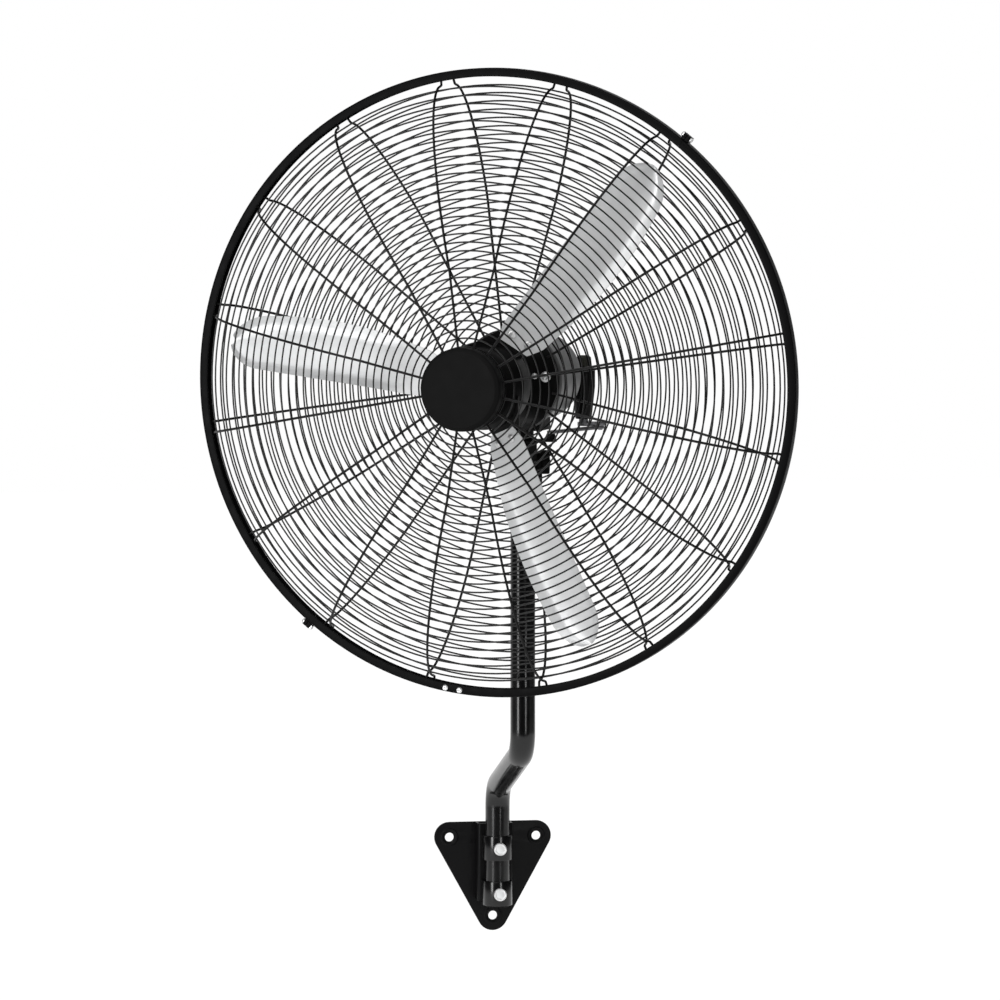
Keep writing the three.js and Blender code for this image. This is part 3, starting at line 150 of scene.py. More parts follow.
powder_coat = paint("powder coat", (0.0028, 0.0028, 0.003), (0.0045, 0.0045, 0.0048),
                    rough=0.4, spread=0.06, peel_scale=900, depth=0.00003, specular=0.1)
hoop_coat = paint("hoop coat", (0.0022, 0.0022, 0.0024), (0.0035, 0.0035, 0.0037),
                  rough=0.42, spread=0.06, peel_scale=800, depth=0.00003, specular=0.045)
gloss_coat = paint("gloss coat", (0.0018, 0.0018, 0.002), (0.0028, 0.0028, 0.003),
                   rough=0.19, spread=0.03, peel_scale=160, depth=0.000003, specular=0.45)
wire_coat = paint("wire coat", (0.0025, 0.0025, 0.0025), (0.004, 0.004, 0.004),
                  rough=0.35, spread=0.05, peel_scale=700, depth=0.00001, specular=0.2)
cast_paint = paint("cast paint", (0.002, 0.002, 0.002), (0.004, 0.004, 0.004),
                   rough=0.42, spread=0.08, peel_scale=420, depth=0.0001, specular=0.12)
moulded = paint("moulded plastic", (0.0045, 0.0045, 0.0045), (0.0056, 0.0056, 0.0056),
                rough=0.6, spread=0.06, peel_scale=1500, depth=0.00003, specular=0.05)
knob_plastic = paint("knob plastic", (0.014, 0.014, 0.009), (0.019, 0.019, 0.013),
                     rough=0.5, spread=0.06, peel_scale=900, depth=0.00003, specular=0.35)
shell_paint = paint("shell paint", (0.07, 0.071, 0.073), (0.09, 0.091, 0.093),
                    rough=0.42, spread=0.06, peel_scale=650, depth=0.00004, specular=0.45)
zinc = metal("zinc plate", (0.72, 0.73, 0.74), (0.84, 0.84, 0.83),
             rough=0.34, spread=0.06, grain_scale=150, metallic=0.8, depth=0.000003)
ground_steel = metal("ground steel", (0.3, 0.3, 0.31), (0.4, 0.4, 0.4),
                     rough=0.34, spread=0.08, grain_scale=300, stretch=(1, 12, 1))
dulled_zinc = metal("dulled zinc", (0.2, 0.2, 0.21), (0.3, 0.3, 0.31),
                    rough=0.48, spread=0.1, grain_scale=350)
core_steel = metal("stacked laminations", (0.18, 0.13, 0.1), (0.3, 0.2, 0.14),
                   rough=0.5, spread=0.1, grain_scale=500, stretch=(1, 1, 30), metallic=0.6)
blade_metal = metal("satin aluminium", (0.6, 0.605, 0.61), (0.67, 0.675, 0.68),
                    rough=0.36, spread=0.05, grain_scale=14, stretch=(2, 60, 1), uv=True, metallic=0.4,
                    depth=0.00001)

# ---------- meshes ----------


def fillet(points, steps=5, closed=False):
    """Round the corners of a polyline; a point's third value is its radius, and without one it stays sharp."""
    flat = [Vector(p[:2]) for p in points]
    radii = [p[2] if len(p) > 2 else 0.0 for p in points]
    nearly_straight = 0.02
    out = []
    last = len(flat) - 1
    for i, at in enumerate(flat):
        if radii[i] <= 0 or (not closed and i in (0, last)):
            out.append(at)
            continue
        before = flat[i - 1] - at
        after = flat[(i + 1) % len(flat)] - at
        angle = before.angle(after)
        if angle > math.pi - nearly_straight:
            out.append(at)
            continue
        reach = min(radii[i] / math.tan(angle / 2), 0.48 * before.length, 0.48 * after.length)
        radius = reach * math.tan(angle / 2)
        a = at + before.normalized() * reach
        b = at + after.normalized() * reach
        inward = (before.normalized() + after.normalized()).normalized()
        centre = at + inward * (radius / math.sin(angle / 2))
        start = a - centre
        sweep = start.angle_signed(b - centre)
        for k in range(steps + 1):
            out.append(centre + Matrix.Rotation(-sweep * k / steps, 2) @ start)
    return out


def turned(profile, sides=64, start=0.0, sweep=None, steps=5):
    """A shape turned about +Y from (radius, y) points; a part turn of a closed section gets end faces."""
    bm = bmesh.new()
    part = sweep is not None
    line = fillet(profile, steps, closed=part)
    count = sides + 1 if part else sides
    rings = []
    for radius, height in line:
        if radius < 1e-6:
            rings.append([bm.verts.new((0, height, 0))])
            continue
        ring = []
        for k in range(count):
            angle = start + (sweep if part else 2 * math.pi) * k / sides
            ring.append(bm.verts.new((radius * math.cos(angle), height, radius * math.sin(angle))))
        rings.append(ring)
    pairs = list(zip(rings, rings[1:]))
    if part:
        pairs.append((rings[-1], rings[0]))
    for a, b in pairs:
        for k in range(sides):
            n = k + 1 if part else (k + 1) % sides
            corners = [a[k % len(a)], a[n % len(a)], b[n % len(b)], b[k % len(b)]]
            unique = list(dict.fromkeys(corners))
            if len(unique) > 2:
                bm.faces.new(unique)
    if part:
        bm.faces.new([ring[0] for ring in rings])
        bm.faces.new([ring[-1] for ring in rings])
    bmesh.ops.recalc_face_normals(bm, faces=bm.faces)
    return bm


def outline_curve(outlines, thickness, edge):
    """A flat sheet with holes, its edges rounded; it lies in XY with its middle at z = 0."""
    curve = bpy.data.curves.new("outline", "CURVE")
    curve.dimensions = "2D"
    curve.fill_mode = "BOTH"
    curve.extrude = thickness / 2 - edge
    curve.bevel_depth = edge
    curve.bevel_resolution = 2
    curve.offset = -edge
    for points in outlines:
        line = curve.splines.new("POLY")
        line.points.add(len(points) - 1)
        line.use_cyclic_u = True
        for point, (x, y) in zip(line.points, points):
            point.co = (x, y, 0, 1)
    holder = bpy.data.objects.new("outline", curve)
    bpy.context.scene.collection.objects.link(holder)
    mesh = evaluated_mesh(holder)
    bpy.data.objects.remove(holder)
    bpy.data.curves.remove(curve)
    bm = bmesh.new()
    bm.from_mesh(mesh)
    bpy.data.meshes.remove(mesh)
    bmesh.ops.remove_doubles(bm, verts=bm.verts, dist=0.002)
    bmesh.ops.recalc_face_normals(bm, faces=bm.faces)
    return bm


def evaluated_mesh(holder):
    graph = bpy.context.evaluated_depsgraph_get()
    return bpy.data.meshes.new_from_object(holder.evaluated_get(graph))


def circle(x, y, radius, sides=48):
    return [(x + radius * math.cos(2 * math.pi * k / sides), y + radius * math.sin(2 * math.pi * k / sides))
            for k in range(sides)]


def around(centres, radius, steps=12):
    """A convex outline round the given centres, each corner with the same radius."""
    points = []
    count = len(centres)
    for i, (x, y) in enumerate(centres):
        bx, by = centres[i - 1]
        ax, ay = centres[(i + 1) % count]
        start = math.atan2(y - by, x - bx) - math.pi / 2
        end = math.atan2(ay - y, ax - x) - math.pi / 2
        if end < start:
            end += 2 * math.pi
        for k in range(steps + 1):
            angle = start + (end - start) * k / steps
            points.append((x + radius * math.cos(angle), y + radius * math.sin(angle)))
    return points


def swept(path, section):
    """A closed section carried along a path in the plane x = 0, with flat ends."""
    bm = bmesh.new()
    rings = []
    last = len(path) - 1
    for i, at in enumerate(path):
        way = (path[min(i + 1, last)] - path[max(i - 1, 0)]).normalized()
        side = Vector((1, 0, 0))
        up = way.cross(side)
        rings.append([bm.verts.new(at + side * x + up * y) for x, y in section])
    count = len(section)
    for a, b in zip(rings, rings[1:]):
        for k in range(count):
            bm.faces.new((a[k], a[(k + 1) % count], b[(k + 1) % count], b[k]))
    bm.faces.new(rings[0])
    bm.faces.new(rings[-1])
    bmesh.ops.recalc_face_normals(bm, faces=bm.faces)
    return bm


def together(*parts):
    """One mesh from (bmesh, matrix) pairs or bare bmeshes."""
    bm = bmesh.new()
    for part in parts:
        shape, place = part if isinstance(part, tuple) else (part, Matrix())
        mesh = bpy.data.meshes.new("part")
        shape.transform(place)
        shape.to_mesh(mesh)
        shape.free()
        bm.from_mesh(mesh)
        bpy.data.meshes.remove(mesh)
    return bm


def softened(bm, width, angle):
    """Bevel the edges of a mesh that are sharper than an angle in degrees."""
    limit = math.radians(angle)
    edges = [e for e in bm.edges if len(e.link_faces) == 2 and e.calc_face_angle(0) > limit]
    bmesh.ops.bevel(bm, geom=edges, offset=width, segments=2, profile=0.7, affect="EDGES",
                    clamp_overlap=True)
    return bm


def from_node(node):
    """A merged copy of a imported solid, in metres."""
    bm = bmesh.new()
    bm.from_mesh(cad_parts[node].data)
    bmesh.ops.remove_doubles(bm, verts=bm.verts, dist=0.00001)
    bmesh.ops.dissolve_limit(bm, angle_limit=math.radians(1), verts=bm.verts, edges=bm.edges)
    return bm


def finished(name, mesh, material, body, nodes, smooth_angle=32):
    """Link a placed mesh, ride it on its body and hide the solids that it stands for."""
    mesh.name = name
    for face in mesh.polygons:
        face.use_smooth = True
    mesh.set_sharp_from_angle(angle=math.radians(smooth_angle))
    mesh.materials.clear()
    mesh.materials.append(material)
    piece = bpy.data.objects.new(name, mesh)
    bpy.context.scene.collection.objects.link(piece)
    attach(piece, body)
    if nodes:
        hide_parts(*nodes)
    return piece


def fitted(name, bm, place, material, body, nodes, smooth_angle=32):
    """A finished piece from a bmesh in millimetres and its place."""
    mesh = bpy.data.meshes.new(name)
    bm.transform(place)
    bm.to_mesh(mesh)
    bm.free()
    return finished(name, mesh, material, body, nodes, smooth_angle)


# ---------- geometry node trees ----------


class Tree:
    """A geometry node tree with named inputs."""

    def __init__(self, name, sizes):
        self.group = bpy.data.node_groups.new(name, "GeometryNodeTree")
        face = self.group.interface
        face.new_socket("Geometry", in_out="INPUT", socket_type="NodeSocketGeometry")
        face.new_socket("Geometry", in_out="OUTPUT", socket_type="NodeSocketGeometry")
        for label, kind in sizes.items():
            face.new_socket(label, in_out="INPUT", socket_type="NodeSocket" + kind)
        self.given = self.group.nodes.new("NodeGroupInput").outputs
        self.result = self.group.nodes.new("NodeGroupOutput").inputs[0]

    def add(self, kind, *values, **settings):
        node = self.group.nodes.new(kind)
        for key, value in settings.items():
            setattr(node, key, value)
        for key, value in values:
            self.feed(node.inputs[key], value)
        return node

    def feed(self, socket, value):
        if isinstance(value, bpy.types.NodeSocket):
            self.group.links.new(value, socket)
        else:
            socket.default_value = value

    def calc(self, operation, a, b=0.0, c=0.0):
        node = self.add("ShaderNodeMath", (0, a), (1, b), operation=operation)
        if operation == "MULTIPLY_ADD":
            self.feed(node.inputs[2], c)
        return node.outputs[0]

    def pick(self, first, second, choose_second):
        """Blend of two numbers: 0 gives the first, 1 the second."""
        change = self.calc("SUBTRACT", second, first)
        return self.calc("MULTIPLY_ADD", change, choose_second, first)

    def vector(self, x, y, z):
        return self.add("ShaderNodeCombineXYZ", (0, x), (1, y), (2, z)).outputs[0]

    def end(self, geometry, material):
        real = self.add("GeometryNodeRealizeInstances", (0, geometry)).outputs[0]
        painted = self.add("GeometryNodeSetMaterial", (0, real), ("Material", material)).outputs[0]
        self.group.links.new(painted, self.result)

    def grow(self, base, values):
        """The tree's result on a base mesh, with its inputs set by name."""
        holder = bpy.data.objects.new("grown", base)
        bpy.context.scene.collection.objects.link(holder)
        modifier = holder.modifiers.new("grown", "NODES")
        modifier.node_group = self.group
        for item in self.group.interface.items_tree:
            if item.in_out == "INPUT" and item.name in values:
                modifier[item.identifier] = values[item.name]
        mesh = evaluated_mesh(holder)
        bpy.data.objects.remove(holder)
        return mesh


GUARD_SIZES = {
    "Side": "Float", "Inner radius": "Float", "First ring": "Float", "Ring count": "Int",
    "Ring pitch": "Float", "Centre depth": "Float", "Turn depth": "Float", "Turn radius": "Float",
    "Shoulder radius": "Float", "Shoulder depth": "Float", "Rim radius": "Float", "Rim offset": "Float",
    "Spoke count": "Int", "Spoke angle": "Float", "Ring wire": "Float", "Spoke wire": "Float",
    "Rim wire": "Float", "Lap": "Float", "Material": "Material",
}


def guard_tree():
    """Rings and bent spokes of one guard half: a cone near the hub, then a quarter ellipse to the rim."""
    tree = Tree("Wire guard", GUARD_SIZES)
    size = tree.given
    calc = tree.calc
    side = size["Side"]
    inner, bend, shoulder = size["Inner radius"], size["Turn radius"], size["Shoulder radius"]
    centre, deep, edge = size["Centre depth"], size["Turn depth"], size["Shoulder depth"]
    cone_slope = calc("DIVIDE", calc("SUBTRACT", deep, centre), calc("SUBTRACT", bend, inner))
    reach = calc("SUBTRACT", shoulder, bend)
    rise = calc("SUBTRACT", deep, edge)

    # A spoke lies on the cone up to cone_end, on the ellipse up to bend_end, and then runs into the rim.
    stations = 56
    cone_end, bend_end = 0.3, 0.94
    line = tree.add("GeometryNodeMeshLine", ("Count", stations))
    share = calc("DIVIDE", tree.add("GeometryNodeInputIndex").outputs[0], stations - 1.0)
    cone_share = calc("MINIMUM", calc("DIVIDE", share, cone_end), 1.0)
    past_cone = calc("DIVIDE", calc("SUBTRACT", share, cone_end), bend_end - cone_end)
    bend_share = calc("MAXIMUM", calc("MINIMUM", past_cone, 1.0), 0.0)
    rim_share = calc("MAXIMUM", calc("DIVIDE", calc("SUBTRACT", share, bend_end), 1 - bend_end), 0.0)
    swing = calc("MULTIPLY", bend_share, math.pi / 2)
    radius = calc("MULTIPLY_ADD", calc("SUBTRACT", bend, inner), cone_share, inner)
    radius = calc("MULTIPLY_ADD", reach, calc("SINE", swing), radius)
    radius = calc("MULTIPLY_ADD", calc("SUBTRACT", size["Rim radius"], shoulder), rim_share, radius)
    drop = calc("SUBTRACT", 1.0, calc("COSINE", swing))
    depth = tree.pick(centre, deep, cone_share)
    depth = calc("SUBTRACT", depth, calc("MULTIPLY", rise, drop))
    depth = calc("SUBTRACT", depth, calc("MULTIPLY", calc("SUBTRACT", edge, size["Rim offset"]),
                                         calc("SQRT", rim_share)))
    placed = tree.add("GeometryNodeSetPosition", (0, line.outputs[0]),
                      ("Position", tree.vector(radius, calc("MULTIPLY", depth, side), 0.0)))
    spoke_line = tree.add("GeometryNodeMeshToCurve", (0, placed.outputs[0])).outputs[0]
    hubs = tree.add("GeometryNodePoints", ("Count", size["Spoke count"]))
    step = calc("DIVIDE", 2 * math.pi, size["Spoke count"])
    way = calc("MULTIPLY_ADD", tree.add("GeometryNodeInputIndex").outputs[0], step, size["Spoke angle"])
    fan_out = tree.add("FunctionNodeEulerToRotation",
                       (0, tree.vector(0.0, calc("MULTIPLY", way, -1.0), 0.0)))
    spokes = tree.add("GeometryNodeInstanceOnPoints", (0, hubs.outputs[0]), ("Instance", spoke_line),
                      ("Rotation", fan_out.outputs[0]))
    spokes = tree.add("GeometryNodeRealizeInstances", (0, spokes.outputs[0])).outputs[0]
    thick = tree.add("GeometryNodeCurvePrimitiveCircle", ("Resolution", 8), ("Radius", size["Spoke wire"]))
    spoke_mesh = tree.add("GeometryNodeCurveToMesh", (0, spokes), ("Profile Curve", thick.outputs[0]),
                          ("Fill Caps", True)).outputs[0]

    # Rings lie inside the spokes, square to the bent profile.
    number = tree.add("GeometryNodeInputIndex").outputs[0]
    at = calc("MULTIPLY_ADD", number, size["Ring pitch"], size["First ring"])
    past = calc("MAXIMUM", calc("DIVIDE", calc("SUBTRACT", at, bend), reach), 0.0)
    outside = calc("GREATER_THAN", at, bend)
    height = calc("SQRT", calc("SUBTRACT", 1.0, calc("MULTIPLY", past, past)))
    on_cone = calc("MULTIPLY_ADD", cone_slope, calc("SUBTRACT", at, inner), centre)
    on_bend = calc("MULTIPLY_ADD", rise, height, edge)
    level = tree.pick(on_cone, on_bend, outside)
    fall = calc("DIVIDE", calc("MULTIPLY", calc("MULTIPLY", rise, past), -1.0),
                calc("MULTIPLY", reach, height))
    slope = tree.pick(cone_slope, fall, outside)
    length = calc("SQRT", calc("MULTIPLY_ADD", slope, slope, 1.0))
    inset = calc("SUBTRACT", calc("ADD", size["Ring wire"], size["Spoke wire"]), size["Lap"])
    inward = calc("DIVIDE", inset, length)
    ring_radius = calc("MULTIPLY_ADD", inward, slope, at)
    ring_depth = calc("MULTIPLY", calc("SUBTRACT", level, inward), side)
    seats = tree.add("GeometryNodePoints", ("Count", size["Ring count"]),
                     ("Position", tree.vector(0.0, ring_depth, 0.0)))
    flat_ring = tree.add("GeometryNodeCurvePrimitiveCircle", ("Resolution", 144), ("Radius", 1.0))
    upright = tree.add("GeometryNodeTransform", (0, flat_ring.outputs[0]), ("Rotation", (math.pi / 2, 0, 0)))
    rings = tree.add("GeometryNodeInstanceOnPoints", (0, seats.outputs[0]), ("Instance", upright.outputs[0]),
                     ("Scale", tree.vector(ring_radius, ring_radius, ring_radius)))
    rings = tree.add("GeometryNodeRealizeInstances", (0, rings.outputs[0])).outputs[0]
    thin = tree.add("GeometryNodeCurvePrimitiveCircle", ("Resolution", 6), ("Radius", size["Ring wire"]))
    ring_mesh = tree.add("GeometryNodeCurveToMesh", (0, rings), ("Profile Curve", thin.outputs[0])).outputs[0]

    # The rim wire, held in the hoop.
    hoop = tree.add("GeometryNodeCurvePrimitiveCircle", ("Resolution", 192), ("Radius", size["Rim radius"]))
    hoop = tree.add("GeometryNodeTransform", (0, hoop.outputs[0]), ("Rotation", (math.pi / 2, 0, 0)),
                    ("Translation", tree.vector(0.0, calc("MULTIPLY", size["Rim offset"], side), 0.0)))
    fat = tree.add("GeometryNodeCurvePrimitiveCircle", ("Resolution", 10), ("Radius", size["Rim wire"]))
    hoop_mesh = tree.add("GeometryNodeCurveToMesh", (0, hoop.outputs[0]), ("Profile Curve", fat.outputs[0]))

    wires = tree.add("GeometryNodeJoinGeometry")
    for part in (spoke_mesh, ring_mesh, hoop_mesh.outputs[0]):
        tree.group.links.new(part, wires.inputs[0])
    tree.end(wires.outputs[0], size["Material"])
    return tree


def repeat_tree():
    """A small part set at every point of the base mesh, its +Y turned along the point's way."""
    tree = Tree("Set of small parts", {"Shape": "Object", "Size": "Float", "Material": "Material"})
    shape = tree.add("GeometryNodeObjectInfo", ("Object", tree.given["Shape"]))
    way = tree.add("GeometryNodeInputNamedAttribute", ("Name", "way"), data_type="FLOAT_VECTOR").outputs[0]
    facing = tree.add("FunctionNodeAlignRotationToVector", ("Vector", way), axis="Y").outputs[0]
    spots = tree.add("GeometryNodeMeshToPoints", (0, tree.given["Geometry"])).outputs[0]
    size = tree.given["Size"]
    placed = tree.add("GeometryNodeInstanceOnPoints", (0, spots), ("Instance", shape.outputs["Geometry"]),
                      ("Rotation", facing), ("Scale", tree.vector(size, size, size)))
    tree.end(placed.outputs[0], tree.given["Material"])
    return tree


guards = guard_tree()
repeats = repeat_tree()


def set_of(name, shape, spots, place, material, body, nodes):
    """Small identical parts of one body at (point, way) spots."""
    sample_mesh = bpy.data.meshes.new("sample")
    shape.to_mesh(sample_mesh)
    shape.free()
    sample = bpy.data.objects.new("sample", sample_mesh)
    bpy.context.scene.collection.objects.link(sample)
    base = bpy.data.meshes.new("spots")
    base.from_pydata([point for point, _ in spots], [], [])
    ways = base.attributes.new("way", "FLOAT_VECTOR", "POINT")
    for entry, (_, way) in zip(ways.data, spots):
        entry.vector = way
    mesh = repeats.grow(base, {"Shape": sample, "Size": 1.0, "Material": material})
    bpy.data.objects.remove(sample)
    mesh.transform(place)
    return finished(name, mesh, material, body, nodes)


# ---------- small parts ----------


def cross_recess(bm, depth, width, face_y):
    """Press a cross into the middle of a screw head whose face is a fan about the axis."""
    arm = width * 1.9
    for vert in bm.verts:
        x, y, z = vert.co
        if y > face_y + 0.01 or math.hypot(x, z) > width * 2.2:
            continue
        along = max(abs(x), abs(z))
        across = min(abs(x), abs(z))
        if across < width * 0.5 and along < arm:
            vert.co.y += depth * (1 - 0.55 * along / arm)


def pan_head(shank, head, height, length):
    """A pan-head screw along +Y with its seat at y = 0; shank and head are radii."""
    rows = 8
    crown = head * 0.62
    profile = [(crown * k / rows, -height) for k in range(rows)]
    profile += [(crown, -height, head * 0.2), (head, -height * 0.42, head * 0.2), (head, 0), (shank, 0),
                (shank, length - 0.6), (shank - 0.5, length), (0, length)]
    bm = turned(profile, 32, steps=3)
    cross_recess(bm, height * 0.55, head * 0.26, -height)
    return bm


def dished_head(shank, head, height, length):
    """A flat round bolt along +Y with its seat at y = 0, its face sunk inside a raised edge."""
    dish = 0.7
    profile = [(0, -height + dish), (head - 2.9, -height + dish, 0.3), (head - 2.2, -height, 0.4),
               (head - 0.9, -height, 0.8), (head, -height + 1.2, 0.8), (head, 0), (shank, 0), (shank, length),
               (0, length)]
    return turned(profile, 64, steps=4)


def hexagon(radius, bore, start, end):
    """A chamfered hexagon nut along +Y; radius is to the corners."""
    chamfer = 0.042 * radius
    bm = outline_curve([circle(0, 0, radius, 6), circle(0, 0, bore, 32)], end - start, chamfer)
    bm.transform(shift(0, (start + end) / 2, 0) @ UPRIGHT)
    return bm


# ---------- wall bracket ----------

PLATE = 4
PLATE_HOLE = 6.0
PLATE_CORNER = 20
CHANNEL_FACE = -24
CHANNEL_HALF = 23.5
CHANNEL_TOP = 65
CHANNEL_HEIGHT = 103
SHEET_STEEL = 3  # of the channel and the straps
TUBE = 16  # radius
TUBE_Y = CHANNEL_FACE - GAP - TUBE
TUBE_FOOT = -40
STRAP_REACH = TUBE + GAP + SHEET_STEEL
STRAP_HEIGHTS = (35, -25)
STRAP_WIDTH = 32
STRAP_NUT = 6
BOLT_SEAT = TUBE_Y - STRAP_REACH - GAP
BLOCK_ROUND = 14  # radius of the tilt block about the tilt bolt
CLEVIS_WALL = 5
NECK_TOP = TILT_HEIGHT - BLOCK_ROUND - GAP - CLEVIS_WALL - GAP

hole_places = [(0, -60), (58, 45), (-58, 45)]
plate_holes = [circle(x, z, PLATE_HOLE, 48)[::-1] for x, z in hole_places]
plate_parts = [(outline_curve([around(hole_places, PLATE_CORNER)] + plate_holes, PLATE, 0.7),
                shift(0, -PLATE / 2, 0) @ UPRIGHT)]
for x, z in hole_places:
    raised_ring = turned([
        (PLATE_HOLE, -PLATE), (7.4, -PLATE - 0.3, 0.8), (9.2, -PLATE - 1.1, 0.8), (10.9, -PLATE - 0.9, 0.8),
        (12.2, -PLATE + 0.3), (PLATE_HOLE, -PLATE + 0.3), (PLATE_HOLE, -PLATE)], 64, steps=4)
    plate_parts.append((raised_ring, shift(x, 0, z)))
fitted("wall_plate_sheet", together(*plate_parts), WALL, powder_coat, "wall_bracket",
       ["wall_plate"])

channel_inner = CHANNEL_HALF - SHEET_STEEL
channel_line = fillet([
    (-CHANNEL_HALF, -PLATE), (-CHANNEL_HALF, CHANNEL_FACE, 4.5), (CHANNEL_HALF, CHANNEL_FACE, 4.5),
    (CHANNEL_HALF, -PLATE), (channel_inner, -PLATE), (channel_inner, CHANNEL_FACE + SHEET_STEEL, 1.5),
    (-channel_inner, CHANNEL_FACE + SHEET_STEEL, 1.5), (-channel_inner, -PLATE)], closed=True)
fitted("mounting_channel", outline_curve([[tuple(p) for p in channel_line]], CHANNEL_HEIGHT, 0.4),
       WALL @ shift(0, 0, CHANNEL_TOP - CHANNEL_HEIGHT / 2), powder_coat, "wall_bracket",
       ["bracket_channel"])


def strap_shape():
    """A strap bent round the front of the tube, seen from above."""
    inner = TUBE + GAP
    outer = STRAP_REACH
    arc = [math.pi * k / 24 for k in range(25)]
    line = [(outer, CHANNEL_FACE)] + [(outer * math.cos(a), TUBE_Y - outer * math.sin(a)) for a in arc]
    line += [(-outer, CHANNEL_FACE), (-inner, CHANNEL_FACE)]
    line += [(-inner * math.cos(a), TUBE_Y - inner * math.sin(a)) for a in arc] + [(inner, CHANNEL_FACE)]
    return outline_curve([line], STRAP_WIDTH, 0.6)


def on_straps(y):
    """A spot on the middle of each strap, facing the wall."""
    return [((0, y, z), (0, 1, 0)) for z in STRAP_HEIGHTS]


for word, height in zip(("upper", "lower"), STRAP_HEIGHTS):
    fitted(f"tube_strap_{word}", strap_shape(), WALL @ shift(0, 0, height), gloss_coat, "wall_bracket",
           [f"saddle_strap_{word}"])

bolt_length = CHANNEL_FACE + SHEET_STEEL + STRAP_NUT + 2 * GAP - BOLT_SEAT
set_of("strap_bolts", dished_head(4, 8.4, 4.6, bolt_length), on_straps(BOLT_SEAT), WALL, zinc,
       "wall_bracket", ["strap_bolt_upper", "strap_bolt_lower"])
set_of("strap_nuts", hexagon(7.5, 4.2, 0, STRAP_NUT), on_straps(CHANNEL_FACE + SHEET_STEEL + GAP), WALL, zinc,
       "wall_bracket", ["strap_nut_upper", "strap_nut_lower"])

BEND = 36  # radius of both bends
LEAN = math.radians(70)  # of the sloping run from upright
LOWER_BEND = 90  # height at which the lower bend starts


def tube_path():
    """Two uprights joined by a sloping run, in the plane x = 0."""
    run = (AXIS_TO_WALL + TUBE_Y - 2 * BEND * (1 - math.cos(LEAN))) / math.sin(LEAN)
    top = LOWER_BEND + 2 * BEND * math.sin(LEAN) + run * math.cos(LEAN)
    turns = [LEAN * k / 20 for k in range(21)]
    points = [Vector((0, TUBE_Y, TUBE_FOOT)), Vector((0, TUBE_Y, LOWER_BEND - 4))]
    points += [Vector((0, TUBE_Y - BEND + BEND * math.cos(a), LOWER_BEND + BEND * math.sin(a)))
               for a in turns]
    points += [Vector((0, -AXIS_TO_WALL + BEND - BEND * math.cos(a), top - BEND * math.sin(a)))
               for a in reversed(turns)]
    return points + [Vector((0, -AXIS_TO_WALL, top + 4)), Vector((0, -AXIS_TO_WALL, NECK_TOP))]


fitted("bent_support_tube", swept(tube_path(), circle(0, 0, TUBE, 56)), WALL, gloss_coat, "wall_bracket",
       ["support_tube"])
plug_shape = turned([(0, -3.3), (TUBE - 0.4, -3.3, 2), (TUBE - 0.1, -0.3), (13, -0.3), (13, 9.5), (0, 9.5)],
                    48, steps=4)
fitted("tube_foot_plug", plug_shape, WALL @ shift(0, TUBE_Y, TUBE_FOOT) @ UPRIGHT, moulded,
       "wall_bracket", ["tube_end_plug"])

TILT_BORE = 5.3  # radius, for the tilt bolt
EAR_OUT = 19.3  # from the tube's middle to the middle of each ear
NECK_HALF = TUBE + GAP + CLEVIS_WALL
cup_foot = NECK_TOP - 42
cup_top = NECK_TOP + GAP + CLEVIS_WALL
clevis_cup = turned([
    (TUBE + GAP, cup_foot), (NECK_HALF, cup_foot, 1.2), (NECK_HALF, cup_top, 2.5), (0, cup_top),
    (0, NECK_TOP + GAP), (TUBE + GAP, NECK_TOP + GAP), (TUBE + GAP, cup_foot)], 64, steps=4)
clevis_parts = [(clevis_cup, UPRIGHT)]
for x in (EAR_OUT, -EAR_OUT):
    ear_foot = NECK_TOP - TILT_HEIGHT
    ear = outline_curve([around([(-4.67, ear_foot), (4.67, ear_foot), (0, 0)], 13),
                         circle(0, 0, TILT_BORE, 32)[::-1]], 6, 1.0)
    clevis_parts.append((ear, shift(x, 0, TILT_HEIGHT) @ SIDEWAYS))
fitted("neck_fork", together(*clevis_parts), WALL @ shift(0, -AXIS_TO_WALL, 0), cast_paint, "wall_bracket",
       ["neck_clevis"])

neck_bolt_parts = [
    (pan_head(3, 5.5, 3.7, 2 * (NECK_HALF + GAP) + 3.6), shift(0, -NECK_HALF - GAP, 0)),
    (hexagon(5, 3, NECK_HALF + GAP, NECK_HALF + 4), Matrix()),
]
neck_bolt_place = WALL @ shift(0, -AXIS_TO_WALL, NECK_TOP - 21) @ CROSSWISE
fitted("neck_cross_bolt", together(*neck_bolt_parts), neck_bolt_place, zinc, "wall_bracket",
       ["neck_bolt"])

TILT_BOLT = 5  # radius
TILT_REACH = 22.3  # from the tube's middle to the outer face of each ear
tilt_bolt_parts = [
    (turned([(0, -TILT_REACH - GAP), (TILT_BOLT, -TILT_REACH - GAP), (TILT_BOLT, TILT_REACH + 9.2),
             (4.2, TILT_REACH + 10), (0, TILT_REACH + 10)], 40), Matrix()),
    (outline_curve([circle(0, 0, 9, 6)], 5.7, 0.8), shift(0, -TILT_REACH - 3.15, 0) @ UPRIGHT),
]
tilt_bolt_place = WALL @ shift(0, -AXIS_TO_WALL, TILT_HEIGHT) @ CROSSWISE
fitted("tilt_bolt_steel", together(*tilt_bolt_parts), tilt_bolt_place, zinc, "wall_bracket",
       ["tilt_bolt"])

GRIP = 11  # thickness of the hand knob
lobes = [(r * math.cos(a), r * math.sin(a))
         for a in [2 * math.pi * k / 96 for k in range(96)] for r in [15 + 1.9 * math.cos(6 * a)]]
grip = outline_curve([lobes, circle(0, 0, 5.4, 32)[::-1]], GRIP, 1.8)
grip_place = WALL @ shift(TILT_REACH + GAP + GRIP / 2, -AXIS_TO_WALL, TILT_HEIGHT) @ SIDEWAYS
fitted("tilt_hand_knob", grip, grip_place, moulded, "wall_bracket", ["tilt_knob"])

# ---------- tilt block ----------

